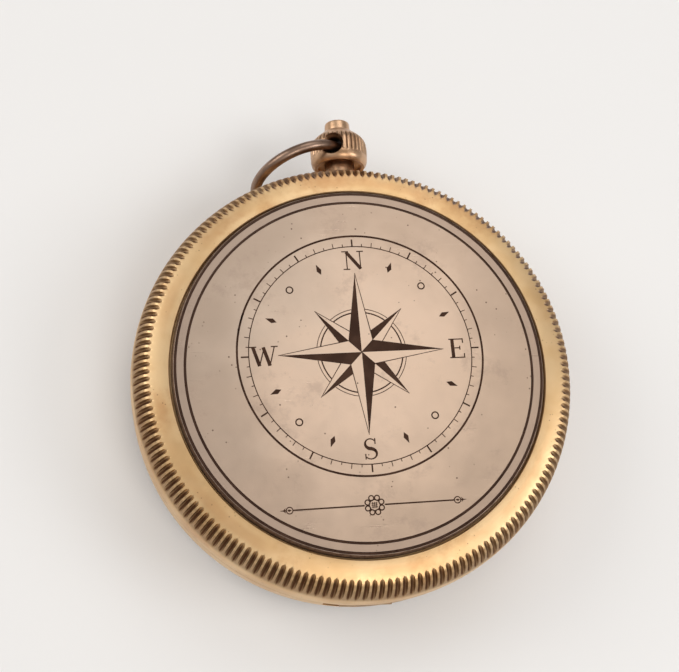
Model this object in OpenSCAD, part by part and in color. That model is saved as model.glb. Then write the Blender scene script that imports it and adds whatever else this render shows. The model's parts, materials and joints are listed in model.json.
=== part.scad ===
// Pocket compass in a round hinged case, closed, lying on its back.
// Origin: centre of the flat back. +Z out through the lid, +Y towards the crown.

/* [Case] */
// Widest diameter of the closed case
case_d = 76; // [74:0.5:80]
// Height of the seam and of the crown's axis above the back
seam_z = 13; // [12.8:0.1:13.6]
// Seam to the outer edge of the lid's face
lid_h = 9; // [8.8:0.1:10]
// Radial width of the rounded shoulders
shoulder_w = 2.9; // [2.6:0.1:3]
// Radial width of the plain face ring around each inset plate
bezel_w = 3.6; // [3.4:0.1:4]
// Rise of the face ring from its outer to its inner edge
bezel_rise = 0.6; // [0.3:0.1:0.8]
// Number of notches in the milled edge of each shell
reed_count = 180; // [120:4:200]
// Diameter of the round cutter that mills the notches
reed_d = 0.84; // [0.6:0.02:0.9]
// Height of the milled band below the face edge
reed_h = 4; // [3.4:0.1:4.2]
// Thickness of the lid's wall at the seam
lid_wall = 2.1; // [2:0.05:2.2]
// Thickness of the lower shell's wall at the seam
base_wall = 3.6; // [3.5:0.05:3.8]
// Height of the locating rim that the lid closes over
rim_h = 1.4; // [1.2:0.1:1.6]

/* [Lid plate] */
// Thickness of the engraved plate
plate_t = 1.3; // [1:0.1:1.4]
// Height of the plate's flat above the face ring's outer edge
plate_proud = 1.4; // [1.2:0.1:1.6]
// Extra crown of the plate at its centre
plate_crown = 0.3; // [0.1:0.05:0.4]
// Width of the plate's sloping margin
margin_w = 0.65; // [0.5:0.05:0.8]
// Width of the strip between the two engraved rings
strip_w = 1.6; // [1.4:0.1:1.9]
// Width of the outer engraved ring
ring_outer_w = 0.42; // [0.3:0.02:0.5]
// Width of the inner engraved ring
ring_inner_w = 0.4; // [0.3:0.02:0.5]
// Depth of both engraved rings
engrave_t = 0.15; // [0.1:0.01:0.25]
// Thickness of the polished lining inside the lid
lining_t = 0.7; // [0.5:0.1:0.8]

/* [Compass] */
// Height of the cup that holds the compass
cup_h = 10.4; // [10.2:0.1:10.6]
// Wall and floor of the cup
cup_wall = 1.2; // [1:0.1:1.3]
// Radial room around the cup for the latch and the lid spring
mech_w = 3.1; // [3:0.05:3.2]
// Thickness of the dial card
dial_t = 0.6; // [0.4:0.1:0.8]
// Width of the sloping degree ring
chapter_w = 3.4; // [3:0.1:3.8]
// Thickness of the glass
glass_t = 1.5; // [1.3:0.1:1.6]
// Thickness of the gasket under the glass
gasket_t = 0.4; // [0.3:0.05:0.5]
// Length of the needle
needle_l = 46; // [40:1:47]
// Thickness of the needle
needle_t = 0.35; // [0.3:0.05:0.5]
// Diameter of the needle's brass cap
cap_d = 4.2; // [4:0.1:4.6]
// Height of the pivot's tip above the dial
tip_h = 3.65; // [3.5:0.05:3.8]

/* [Crown] */
// Widest diameter of the fluted knob
knob_d = 10.4; // [10:0.1:10.8]
// Length of the knob along its axis
knob_l = 7; // [6.9:0.1:7.4]
// Gap between the case and the knob
knob_gap = 2.3; // [2.2:0.1:2.8]
// Diameter of the neck
neck_d = 5.5; // [5.3:0.1:5.6]
// Diameter of the collar at the foot of the neck
collar_d = 6.4; // [6.2:0.1:6.5]
// Diameter of the push button
button_d = 4.7; // [4.5:0.05:4.8]
// Length of button that stands out of the knob
button_out = 2; // [1.8:0.1:2.4]
// Travel of the push button
button_travel = 0.9; // [0.8:0.05:0.9]
// Diameter of the button's stem
stem_d = 2.6; // [2.4:0.1:2.6]
// Number of flutes round the knob
flute_count = 36; // [28:2:44]

/* [Bow] */
// Radius of the bow to the middle of its wire
bow_r = 8.8; // [8.6:0.1:9]
// Diameter of the bow's wire
bow_wire_d = 1.9; // [1.8:0.05:1.9]
// Turn of the bow's holes about the crown's axis, from +Z towards -X
bow_turn = 22; // [20:1:24]
// Swing of the bow at rest, measured from square to the crown's axis
bow_swing = -22; // [-22:1:-18]
// Diameter of the bow's holes in the knob
bow_hole_d = 2.9; // [2.9:0.05:3]

/* [Hinge] */
// Diameter of the hinge barrels
barrel_d = 3; // [2.8:0.1:3]
// Drop of the hinge axis below the seam
hinge_drop = 1.2; // [1.1:0.1:1.3]
// Diameter of the hinge pin
pin_d = 1; // [0.8:0.1:1.2]
// Length of each outer barrel
outer_barrel_l = 2.6; // [2.2:0.1:3]
// Length of the middle barrel
mid_barrel_l = 3.4; // [3.2:0.1:4]

/* [Hidden] */
$fn = 96;

// Clearances and the overrun of cuts
seat_gap = 0.03;
run_gap = 0.05;
lid_gap = 0.15;
free_gap = 0.25;
cut = 1;

// Radii of the shells
case_r = case_d / 2;
face_r = case_r - shoulder_w;
bezel_in_r = face_r - bezel_w;
plate_gap = 0.25;
plate_r = bezel_in_r - plate_gap;
ring_outer_r = plate_r - margin_w;
ring_inner_r = ring_outer_r - strip_w;
lid_in_r = case_r - lid_wall;
rim_r = lid_in_r - lid_gap;
base_in_r = case_r - base_wall;
step_w = 1;
low_r = base_in_r - step_w;
ledge_w = 2;
ledge_r = bezel_in_r - ledge_w;

// Heights of the shells
seam_gap = 0.1;
lid_z = seam_z + seam_gap;
face_z = seam_z + lid_h;
plate_top_z = face_z + plate_proud;
plate_edge_h = 0.8;
ledge_t = 1;
plate_z = plate_top_z - plate_t - plate_edge_h;
ledge_z = plate_z - ledge_t;
back_t = 1.6;
shelf_t = 1.2;
shelf_z = back_t + shelf_t;
base_bezel_rise = 0.35;
land_h = 0.5;
shoulder_h = lid_h - seam_gap - land_h;
seam_bevel = 0.35;
corner_h = 1.8;
corner_w = 1.5;
lining_r = lid_in_r - corner_w - 2 * lid_gap;

// Where a notch runs out on the shoulder, as a share of the shoulder's width
reed_tip_share = 0.79;
// Shoulder outline as shares of its radial width and of its height
shoulder_shares = [[0, 1], [0.28, 0.935], [0.55, 0.79], [0.8, 0.53], [0.95, 0.22], [1, 0]];

// Compass stack, bottom to top
cup_r = low_r - mech_w;
cup_in_r = cup_r - cup_wall;
cup_z = shelf_z;
floor_z = cup_z + cup_wall;
dial_z = floor_z;
dial_top_z = dial_z + dial_t;
cup_top_z = cup_z + cup_h;
glass_ring_h = 0.9;
glass_z = cup_top_z - glass_ring_h - glass_t;
gasket_z = glass_z - gasket_t;
chapter_r = cup_in_r - seat_gap;
chapter_in_r = chapter_r - chapter_w;
chapter_top_w = 1.4;
chapter_foot_h = 1.3;
deck_t = 0.8;
deck_z = cup_top_z - deck_t;

// Pivot and needle
post_d = 1.8;
post_flange_d = 4;
post_flange_h = 0.5;
post_body_h = 1.6;
tip_d = 0.16;
tip_z = dial_top_z + tip_h;
jewel_d = 1.9;
jewel_h = 1.3;
jewel_hollow_d = 1.1;
jewel_hollow_h = 0.65;
jewel_z = tip_z + run_gap - jewel_hollow_h;
cap_flange_d = 5.6;
cap_flange_h = 0.25;
cap_z = jewel_z - 0.2 * cap_flange_h;
cap_body_h = 1.6;
cap_dome_h = 0.4;
needle_z = cap_z + cap_flange_h;
hub_lap_w = 0.3;
hub_r = cap_flange_d / 2 + hub_lap_w;

// Crown stack along its axis, measured from the case's own axis
collar_t = 1;
collar_y = case_r - 0.4 * collar_t;
knob_y = case_r + knob_gap;
knob_top_y = knob_y + knob_l;
knob_r = knob_d / 2;
neck_in_knob = 0.85;
neck_top_y = knob_y + neck_in_knob;
lip_h = 1.3;
lip_recess = 0.6;
nut_set = 0.1;
nut_r = collar_d / 2 - nut_set;
nut_t = 1.1;
nut_y = sqrt(base_in_r * base_in_r - nut_r * nut_r) - nut_t - seat_gap;
button_in = 1.3;
button_y = knob_top_y - button_in;
button_top_y = knob_top_y + button_out;
button_crown_t = 1.1;
button_skin = 0.42;
button_edge = 0.25;
well_y = button_y - button_travel - 2 * run_gap;
stem_top_y = button_top_y - button_crown_t;

// Knob outline as shares of its radius and of its length
knob_shares = [
  [0.86, 0], [0.95, 0.06], [0.99, 0.16], [1, 0.3], [1, 0.5],
  [0.98, 0.63], [0.91, 0.74], [0.8, 0.83], [0.67, 0.91], [0.51, 1]
];
// Flutes, cut with a leaning round cutter between two shares of the knob's length
flute_d = 0.5;
flute_low_share = 0.24;
flute_high_share = 0.8;
flute_lean_share = 0.15;
flute_out_share = 1.03;
// Where the cross hole sits, as a share of the knob's length
hole_share = 0.44;

hole_y = knob_y + hole_share * knob_l;

// Latch
lever_w = 3.2;
lever_t = 1.2;
lever_gap = 0.6;
lever_y = low_r - lever_gap - lever_t;
pivot_h = 4.7;
pivot_z = shelf_z + pivot_h;
pivot_y = lever_y + lever_t / 2;
latch_pin_d = 1;
tail_l = 2.6;
catch_t = 0.9;
catch_z = seam_z + collar_d / 2 + lid_gap + run_gap;
catch_w = 8;
catch_d = 1.7;
catch_y = lid_in_r - catch_d;
nose_z = catch_z + catch_t + lid_gap;
nose_t = 0.95;
nose_gap = 1;
nose_y = lid_in_r - nose_gap;
stem_tip_d = 1;
stem_tip_l = 1.2;
stem_y = lever_y + lever_t + 2 * run_gap;
cheek_t = 0.8;
bracket_w = 11;
bracket_foot_t = 0.8;
bracket_d = 2.1;
bracket_y = sqrt(low_r * low_r - bracket_w * bracket_w / 4) - bracket_d - run_gap;
bracket_screw_x = 4.3;
screw_d = 1.2;
screw_head_d = 2;
screw_head_h = 0.5;
screw_l = 1.8;

// Hinge
hinge_z = seam_z - hinge_drop;
barrel_r = barrel_d / 2;
hinge_y = -(case_r - barrel_r);
barrel_gap = 0.1;
hinge_l = 2 * outer_barrel_l + mid_barrel_l + 2 * barrel_gap;
relief_w = 0.85;
relief_r = barrel_r + relief_w;
relief_l = 14;
foot_d = 1.6;
foot_h = 3.2;
foot_set = 0.5;
foot_y = hinge_y - foot_set;
leaf_d = 1.75;
leaf_h = 3.3;
leaf_set = 1.25;
leaf_y = hinge_y - leaf_set;

// Lid spring, a bent strip behind the cup
spring_t = 0.5;
spring_r = low_r - 2 * lid_gap;
spring_h = 3.4;
spring_z = deck_z - 2 * run_gap - spring_h;
spring_half_angle = 28;
spring_pad_w = 2.8;
spring_pad_h = 1.6;
spring_leg_angle = 5;
spring_foot_angle = 0.8 * spring_leg_angle;
spring_foot_d = 2.4;
spring_foot_t = 0.7;
spring_screw_r = spring_r - spring_t - (spring_foot_d - spring_t) / 2;
spring_screw_angle = spring_half_angle - spring_leg_angle / 2;

// Deck posts and screws
post_angles = [40, 140, 220, 320];
post_r = (cup_r + low_r) / 2;
deck_post_d = 2.7;
deck_screw_l = 3.4;
cup_screw_r = 0.62 * cup_in_r;
cup_screw_angles = [90, 210, 330];
cup_screw_in = 0.9;
cup_screw_l = floor_z - screw_head_h - back_t + cup_screw_in - 2 * seat_gap;

// Bow
bow_hole_z = seam_z;
bow_end_gap = 0.45;
bow_end = stem_d / 2 + bow_end_gap;
bow_mouth_w = 0.94;
bow_mouth_d = bow_hole_d + 2 * bow_mouth_w;
bow_mouth_t = 1.4;
// The curved ends lie centred in the hole up to this share of the knob's radius
bow_reach_share = 0.8;
bow_reach = bow_reach_share * knob_r;
bow_offset = (bow_r - sqrt(bow_r * bow_r - bow_reach * bow_reach)) / 2;

// Return spring of the button: one wire wound round the stem
coil_wire_d = 0.26;
coil_turns = 6;
coil_steps = 12;
coil_sides = 6;
coil_r = (stem_d / 2 + button_d / 2 - button_skin) / 2;
coil_start = coil_wire_d / 2 + run_gap;
coil_l = stem_top_y - well_y - 2 * coil_start;

// Needle outline: shares of the hub's radius across, and of the half length along
needle_shares = [
  [1, 0], [0.62, 0.08], [0.3, 0.62], [0.95, 0.6], [0, 1],
  [-0.95, 0.6], [-0.3, 0.62], [-0.62, 0.08], [-1, 0],
  [-0.62, -0.08], [-0.3, -0.7], [-0.62, -0.8], [-0.3, -0.9], [0, -0.96],
  [0.3, -0.9], [0.62, -0.8], [0.3, -0.7], [0.62, -0.08]
];

// Outline of one shell's shoulder, from the face edge out to the seam
function shoulder(edge_z, end_z) =
  [for (s = shoulder_shares) [face_r + shoulder_w * s[0], end_z + (edge_z - end_z) * s[1]]];

module turned(points) { rotate_extrude($fn = 180) polygon(points); }

module along_y(y) { translate([0, y, seam_z]) rotate([-90, 0, 0]) children(); }

module along_x(x, y, z) { translate([x, y, z]) rotate([0, 90, 0]) children(); }

module block(x0, x1, y0, y1, z0, z1) {
  translate([x0, y0, z0]) cube([x1 - x0, y1 - y0, z1 - z0]);
}

// Round holes sunk from z by depth, at radius r and the given angles
module screw_holes(r, angles, z, depth) {
  for (a = angles) rotate([0, 0, a]) translate([r, 0, z - depth])
    cylinder(h = depth + cut, d = screw_d);
}

// Milled notches: each cutter's deepest line runs from the face edge out to the shoulder,
// down from the lid's face where side is -1 and up from the back where it is 1
module reeds(edge_z, side) {
  cutter_r = reed_d / 2;
  start_r = face_r - cutter_r;
  run_w = cutter_r + reed_tip_share * shoulder_w;
  run_l = sqrt(run_w * run_w + reed_h * reed_h);
  lean = atan2(run_w, reed_h);
  for (i = [0 : reed_count - 1])
    rotate([0, 0, 360 * i / reed_count])
      translate([start_r, 0, edge_z])
        rotate([0, 90 - side * (90 - lean), 0])
          translate([side * cutter_r, 0, -cut])
            cylinder(h = run_l + 2 * cut, d = reed_d, $fn = 24);
}

// Round notch that both shells leave for the neck and its collar; the cutter is turned
// so that its own edge line lies on top, clear of the plane where the shells meet
module neck_cut(y0, d, l = case_r) { along_y(y0) rotate([0, 0, -90]) cylinder(h = l, d = d); }

module hinge_cut(r, l) {
  along_x(-l / 2, hinge_y, hinge_z) cylinder(h = l, r = r);
}

module lid_ring() {
  color([0.80, 0.68, 0.46]) difference() {
    turned(concat(
      [[lid_in_r, lid_z], [lid_in_r, ledge_z - corner_h], [lid_in_r - corner_w, ledge_z],
       [ledge_r, ledge_z], [ledge_r, plate_z], [bezel_in_r, plate_z],
       [bezel_in_r, face_z + bezel_rise]],
      shoulder(face_z, face_z - shoulder_h), [[case_r, lid_z]]));
    reeds(face_z, -1);
    neck_cut(base_in_r, collar_d + 2 * free_gap);
    hinge_cut(barrel_r + lid_gap, hinge_l + 2 * lid_gap);
    block(-mid_barrel_l / 2 - seat_gap, mid_barrel_l / 2 + seat_gap,
      leaf_y - seat_gap, leaf_y + leaf_d + seat_gap, hinge_z, hinge_z + leaf_h + seat_gap);
  }
}

module lid_plate() {
  groove_in = ring_inner_w / 2;
  groove_out = ring_outer_w / 2;
  rim_z = plate_top_z - plate_edge_h;
  flat_r = ring_outer_r + groove_out;
  low_z = plate_top_z - engrave_t;
  color([0.66, 0.58, 0.48]) turned([
    [0, plate_z + plate_edge_h], [ledge_r - plate_gap, plate_z + plate_edge_h],
    [ledge_r - plate_gap, plate_z], [plate_r, plate_z],
    [plate_r, rim_z], [flat_r, plate_top_z],
    [flat_r, low_z], [ring_outer_r - groove_out, low_z], [ring_outer_r - groove_out, plate_top_z],
    [ring_inner_r + groove_in, plate_top_z], [ring_inner_r + groove_in, low_z],
    [ring_inner_r - groove_in, low_z], [ring_inner_r - groove_in, plate_top_z],
    [0.5 * ring_inner_r, plate_top_z + 0.75 * plate_crown], [0, plate_top_z + plate_crown]
  ]);
}

module lid_lining() {
  color([0.82, 0.72, 0.50])
    translate([0, 0, ledge_z - lining_t]) cylinder(h = lining_t, r = lining_r, $fn = 180);
}

// Ledge inside the lid that the latch's nose holds down
module lid_catch() {
  color([0.72, 0.60, 0.38]) intersection() {
    block(-catch_w / 2, catch_w / 2, catch_y, lid_in_r + cut, catch_z, catch_z + catch_t);
    cylinder(h = face_z, r = lid_in_r - seat_gap);
  }
}

module lid_knuckle() {
  color([0.72, 0.60, 0.38]) difference() {
    union() {
      along_x(-mid_barrel_l / 2, hinge_y, hinge_z) cylinder(h = mid_barrel_l, r = barrel_r);
      block(-mid_barrel_l / 2, mid_barrel_l / 2, leaf_y, leaf_y + leaf_d, hinge_z, hinge_z + leaf_h);
    }
    along_x(-mid_barrel_l, hinge_y, hinge_z) cylinder(h = 2 * mid_barrel_l, d = pin_d + 2 * run_gap);
  }
}

module base_shell() {
  color([0.74, 0.61, 0.40]) difference() {
    union() {
      turned(concat(
        [[ledge_r, back_t], [bezel_in_r, back_t], [bezel_in_r, 0]],
        shoulder(base_bezel_rise, base_bezel_rise + shoulder_h),
        [[case_r, seam_z - seam_bevel], [case_r - seam_bevel, seam_z],
         [rim_r, seam_z], [rim_r, seam_z + rim_h], [base_in_r, seam_z + rim_h],
         [base_in_r, deck_z], [low_r, deck_z], [low_r, shelf_z], [ledge_r, shelf_z]]));
      for (a = post_angles) rotate([0, 0, a]) translate([post_r, 0, shelf_z - shelf_t / 2])
        cylinder(h = deck_z - shelf_z + shelf_t / 2, d = deck_post_d);
    }
    reeds(base_bezel_rise, 1);
    neck_cut(base_in_r - step_w - cut, neck_d + 2 * seat_gap);
    neck_cut(collar_y - seat_gap, collar_d + 2 * seat_gap);
    neck_cut(low_r - cut, 2 * (nut_r + lid_gap), nut_y + nut_t + seat_gap - low_r + cut);
    hinge_cut(barrel_r + lid_gap, hinge_l + 2 * lid_gap);
    intersection() {
      hinge_cut(relief_r, relief_l);
      block(-case_r, case_r, -2 * case_r, hinge_y, 0, seam_z + cut);
    }
    for (s = [-1, 1]) translate([s * (hinge_l - outer_barrel_l) / 2, 0, 0])
      block(-outer_barrel_l / 2 - seat_gap, outer_barrel_l / 2 + seat_gap,
        foot_y - seat_gap, foot_y + foot_d + seat_gap, hinge_z - foot_h - seat_gap, hinge_z);
    block(-spring_pad_w / 2 - lid_gap, spring_pad_w / 2 + lid_gap, hinge_y, -low_r + cut,
      hinge_z - spring_pad_h / 2 - lid_gap, hinge_z + spring_pad_h / 2 + lid_gap);
    screw_holes(post_r, post_angles, deck_z, deck_screw_l);
    bracket_holes(shelf_z, screw_l);
    spring_holes(shelf_z, screw_l);
  }
}

module back_plate() {
  color([0.66, 0.58, 0.48]) difference() {
    cylinder(h = back_t, r = plate_r, $fn = 180);
    screw_holes(cup_screw_r, cup_screw_angles, back_t, cup_screw_in);
  }
}

module case_knuckles() {
  color([0.72, 0.60, 0.38])
    for (s = [-1, 1]) translate([s * (hinge_l - outer_barrel_l) / 2, 0, 0]) difference() {
      union() {
        along_x(-outer_barrel_l / 2, hinge_y, hinge_z) cylinder(h = outer_barrel_l, r = barrel_r);
        block(-outer_barrel_l / 2, outer_barrel_l / 2, foot_y, foot_y + foot_d,
          hinge_z - foot_h, hinge_z);
      }
      along_x(-outer_barrel_l, hinge_y, hinge_z)
        cylinder(h = 2 * outer_barrel_l, d = pin_d + 2 * seat_gap);
    }
}

module hinge_pin() {
  color("silver") along_x(-hinge_l / 2, hinge_y, hinge_z) cylinder(h = hinge_l, d = pin_d);
}

module spring_arc(r0, r1, z0, z1, a0, a1) {
  rotate([0, 0, a0]) rotate_extrude(angle = a1 - a0, $fn = 180)
    polygon([[r0, z0], [r1, z0], [r1, z1], [r0, z1]]);
}

// Bent strip whose middle pad bears on the lid's barrel; a window between its two legs lets it flex
module lid_spring() {
  in_r = spring_r - spring_t;
  window_half_angle = spring_half_angle - spring_leg_angle;
  color([0.45, 0.46, 0.50]) difference() {
    union() {
      spring_arc(in_r, spring_r, shelf_z, spring_z + spring_h,
        270 - spring_half_angle, 270 + spring_half_angle);
      for (s = [-1, 1]) {
        mid = 270 + s * spring_screw_angle;
        spring_arc(spring_r - spring_foot_d, spring_r - spring_t / 2, shelf_z, shelf_z + spring_foot_t,
          mid - spring_foot_angle / 2, mid + spring_foot_angle / 2);
      }
      block(-spring_pad_w / 2, spring_pad_w / 2, hinge_y + barrel_r + run_gap, -in_r - spring_t / 2,
        hinge_z - spring_pad_h / 2, hinge_z + spring_pad_h / 2);
    }
    spring_arc(in_r - spring_t, spring_r + spring_t, shelf_z - cut, spring_z,
      270 - window_half_angle, 270 + window_half_angle);
    spring_holes(shelf_z + spring_foot_t, screw_l);
  }
}

module spring_holes(z, depth) {
  screw_holes(spring_screw_r, [270 - spring_screw_angle, 270 + spring_screw_angle], z, depth);
}

// Cheese-head screw standing on z, with a driver slot
module screw(z, length, head_d) {
  translate([0, 0, z]) difference() {
    union() {
      cylinder(h = screw_head_h, d = head_d);
      translate([0, 0, -length]) cylinder(h = length + screw_head_h / 2, d = screw_d - 2 * seat_gap);
    }
    block(-head_d, head_d, -head_d / 10, head_d / 10, screw_head_h / 2, screw_head_h + cut);
  }
}

module lid_spring_screws() {
  head_d = 1.5 * screw_d;
  color("silver") for (s = [-1, 1])
    rotate([0, 0, 270 + s * spring_screw_angle]) translate([spring_screw_r, 0, 0])
      screw(shelf_z + spring_foot_t, screw_l - lid_gap, head_d);
}

module pendant_neck() {
  color([0.70, 0.55, 0.36]) difference() {
    union() {
      along_y(nut_y) cylinder(h = neck_top_y - nut_y, d = neck_d);
      along_y(collar_y) cylinder(h = collar_t, d = collar_d);
    }
    along_y(nut_y - cut) cylinder(h = case_r, d = stem_d + 2 * run_gap);
  }
}

module pendant_nut() {
  color([0.66, 0.54, 0.34]) along_y(nut_y) difference() {
    cylinder(h = nut_t, r = nut_r);
    translate([0, 0, -cut]) cylinder(h = nut_t + 2 * cut, d = neck_d + 2 * seat_gap);
  }
}

module bow_axis() { translate([0, hole_y, bow_hole_z]) rotate([0, -bow_turn, 0]) children(); }

// Cross hole with flared mouths, where the ends of the bow turn
module bow_hole() {
  bow_axis() {
    cylinder(h = 2 * knob_d, d = bow_hole_d, center = true);
    for (s = [0, 180]) rotate([s, 0, 0]) translate([0, 0, knob_r - bow_mouth_t])
      cylinder(h = bow_mouth_t + cut, d1 = bow_hole_d,
        d2 = bow_hole_d + (bow_mouth_d - bow_hole_d) * (bow_mouth_t + cut) / bow_mouth_t);
  }
}

module crown_knob() {
  outline = [for (s = knob_shares) [knob_r * s[0], knob_l * s[1]]];
  low_y = knob_l * flute_low_share;
  high_y = knob_l * flute_high_share;
  lean = atan2(knob_r * flute_lean_share, high_y - low_y);
  color([0.72, 0.56, 0.37]) difference() {
    along_y(knob_y) difference() {
      rotate_extrude() polygon(concat(
        [[neck_d / 2 + seat_gap, lip_recess], [knob_r - lip_h, lip_recess], [knob_r - 0.9 * lip_h, 0]],
        outline,
        [[button_d / 2 + run_gap, knob_l], [button_d / 2 + run_gap, well_y - knob_y],
         [stem_d / 2 + run_gap, well_y - knob_y], [stem_d / 2 + run_gap, neck_in_knob + run_gap],
         [neck_d / 2 + seat_gap, neck_in_knob + run_gap]]));
      for (i = [0 : flute_count - 1]) rotate([0, 0, 360 * (i + 0.5) / flute_count])
        translate([flute_out_share * knob_r, 0, low_y]) rotate([0, -lean, 0])
          cylinder(h = (high_y - low_y) / cos(lean), d = flute_d, $fn = 16);
    }
    bow_hole();
  }
}

module push_button() {
  r = button_d / 2;
  e = button_edge;
  l = button_top_y - button_y;
  color([0.74, 0.58, 0.42]) along_y(button_y) rotate_extrude() polygon([
    [r - button_skin, 0], [r, 0], [r, l - 2 * e], [r - e / 3, l - e], [r - e, l - e / 3],
    [r - 2 * e, l], [0, l], [0, l - button_crown_t], [r - button_skin, l - button_crown_t]
  ]);
}

module button_stem() {
  color("silver") {
    along_y(stem_y) cylinder(h = stem_tip_l + stem_tip_d / 2, d = stem_tip_d);
    along_y(stem_y + stem_tip_l) cylinder(h = stem_top_y - stem_y - stem_tip_l, d = stem_d);
  }
}

// Point j of the ring of points at step i along the button's spring
function coil_point(i, j) =
  let (a = 360 * i / coil_steps, b = 360 * j / coil_sides,
       r = coil_r + coil_wire_d / 2 * cos(b),
       rise = coil_l * i / (coil_turns * coil_steps))
  [r * cos(a), r * sin(a), coil_start + rise + coil_wire_d / 2 * sin(b)];

module button_spring() {
  n = coil_turns * coil_steps;
  points = [for (i = [0 : n]) for (j = [0 : coil_sides - 1]) coil_point(i, j)];
  sides = [for (i = [0 : n - 1]) for (j = [0 : coil_sides - 1])
    let (k = (j + 1) % coil_sides, a = i * coil_sides, b = a + coil_sides)
    each [[a + j, b + k, b + j], [a + j, a + k, b + k]]];
  ends = [for (j = [1 : coil_sides - 2])
    each [[0, j + 1, j], [n * coil_sides, n * coil_sides + j, n * coil_sides + j + 1]]];
  color("silver") along_y(well_y) polyhedron(points = points, faces = concat(sides, ends));
}

module latch_lever() {
  top_z = nose_z + nose_t;
  color([0.50, 0.50, 0.52]) difference() {
    union() {
      block(-lever_w / 2, lever_w / 2, lever_y, lever_y + lever_t, pivot_z - tail_l, top_z);
      block(-lever_w / 2, lever_w / 2, lever_y + lever_t / 2, nose_y, nose_z, top_z);
    }
    along_x(-lever_w, pivot_y, pivot_z) cylinder(h = 2 * lever_w, d = latch_pin_d + 2 * run_gap);
  }
}

module bracket_holes(z, depth) {
  for (s = [-1, 1]) translate([s * bracket_screw_x, bracket_y + bracket_d / 2, z - depth])
    cylinder(h = depth + cut, d = screw_d);
}

module latch_bracket() {
  cheek_x = lever_w / 2 + lid_gap;
  color([0.66, 0.54, 0.34]) difference() {
    union() {
      block(-bracket_w / 2, bracket_w / 2, bracket_y, bracket_y + bracket_d,
        shelf_z, shelf_z + bracket_foot_t);
      for (s = [-1, 1]) translate([s * (cheek_x + cheek_t / 2), 0, 0])
        block(-cheek_t / 2, cheek_t / 2, bracket_y, bracket_y + bracket_d,
          shelf_z, pivot_z + 1.2 * latch_pin_d);
    }
    along_x(-bracket_w, pivot_y, pivot_z) cylinder(h = 2 * bracket_w, d = latch_pin_d + 2 * seat_gap);
    bracket_holes(shelf_z + bracket_foot_t, screw_l);
  }
}

module latch_pin() {
  pin_l = lever_w + 2 * lid_gap + 2 * cheek_t;
  color("silver") along_x(-pin_l / 2, pivot_y, pivot_z) cylinder(h = pin_l, d = latch_pin_d);
}

module latch_screws() {
  color("silver") for (s = [-1, 1])
    translate([s * bracket_screw_x, bracket_y + bracket_d / 2, 0])
      screw(shelf_z + bracket_foot_t, screw_l - lid_gap, 1.5 * screw_d);
}

module compass_cup() {
  color([0.70, 0.58, 0.38]) difference() {
    translate([0, 0, cup_z]) cylinder(h = cup_h, r = cup_r, $fn = 180);
    translate([0, 0, floor_z]) cylinder(h = cup_h, r = cup_in_r, $fn = 180);
    translate([0, 0, cup_z - cut]) cylinder(h = cup_h, d = post_d + 2 * seat_gap);
    screw_holes(cup_screw_r, cup_screw_angles, floor_z, cup_wall + cut);
    for (a = cup_screw_angles) rotate([0, 0, a])
      translate([cup_screw_r, 0, floor_z - screw_head_h - seat_gap])
        cylinder(h = screw_head_h + cut, d = screw_head_d + 2 * seat_gap);
  }
}

// Screws that clamp the cup down to the back plate, under the dial
module cup_screws() {
  color("silver") for (a = cup_screw_angles) rotate([0, 0, a]) translate([cup_screw_r, 0, 0])
    screw(floor_z - screw_head_h - seat_gap, cup_screw_l, screw_head_d);
}

module dial_card() {
  color([0.93, 0.90, 0.80]) translate([0, 0, dial_z]) difference() {
    cylinder(h = dial_t, r = chapter_r, $fn = 180);
    translate([0, 0, -cut]) cylinder(h = dial_t + 2 * cut, d = post_d + 2 * seat_gap);
  }
}

module chapter_ring() {
  color([0.20, 0.18, 0.16]) turned([
    [chapter_in_r, dial_top_z], [chapter_r, dial_top_z], [chapter_r, gasket_z],
    [chapter_r - chapter_top_w, gasket_z], [chapter_in_r, dial_top_z + chapter_foot_h]
  ]);
}

module glass_gasket() {
  color([0.10, 0.10, 0.10]) turned([
    [chapter_r - chapter_top_w, gasket_z], [chapter_r, gasket_z],
    [chapter_r, glass_z], [chapter_r - chapter_top_w, glass_z]
  ]);
}

module glass() {
  color([0.75, 0.88, 0.92, 0.4])
    translate([0, 0, glass_z]) cylinder(h = glass_t, r = chapter_r, $fn = 180);
}

module glass_ring() {
  z0 = glass_z + glass_t;
  color([0.80, 0.68, 0.44]) turned([
    [chapter_r - chapter_top_w, z0], [chapter_r, z0], [chapter_r, cup_top_z],
    [chapter_r - chapter_top_w / 2, cup_top_z], [chapter_r - chapter_top_w, z0 + glass_ring_h / 2]
  ]);
}

module pivot_post() {
  body_z = dial_top_z + post_body_h;
  color([0.62, 0.62, 0.64]) rotate_extrude($fn = 48) polygon([
    [0, cup_z], [post_d / 2, cup_z], [post_d / 2, dial_top_z], [post_flange_d / 2, dial_top_z],
    [post_flange_d / 2, dial_top_z + post_flange_h], [post_d / 2, dial_top_z + post_flange_h],
    [post_d / 2, body_z], [tip_d / 2, tip_z], [0, tip_z]
  ]);
}

module needle() {
  half_l = needle_l / 2;
  color([0.25, 0.28, 0.42]) translate([0, 0, needle_z]) difference() {
    union() {
      cylinder(h = needle_t, r = hub_r);
      linear_extrude(height = needle_t)
        polygon([for (s = needle_shares) [hub_r * s[0], half_l * s[1]]]);
    }
    translate([0, 0, -cut]) cylinder(h = needle_t + 2 * cut, d = cap_d + 2 * seat_gap);
  }
}

module needle_cap() {
  top_z = cap_z + cap_flange_h + cap_body_h;
  color([0.80, 0.66, 0.38]) rotate_extrude($fn = 48) polygon([
    [jewel_d / 2 + seat_gap, cap_z], [cap_flange_d / 2, cap_z], [cap_flange_d / 2, needle_z],
    [cap_d / 2, needle_z], [cap_d / 2, top_z - cap_dome_h], [cap_d / 3, top_z], [0, top_z],
    [0, jewel_z + jewel_h + seat_gap], [jewel_d / 2 + seat_gap, jewel_z + jewel_h + seat_gap]
  ]);
}

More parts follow.
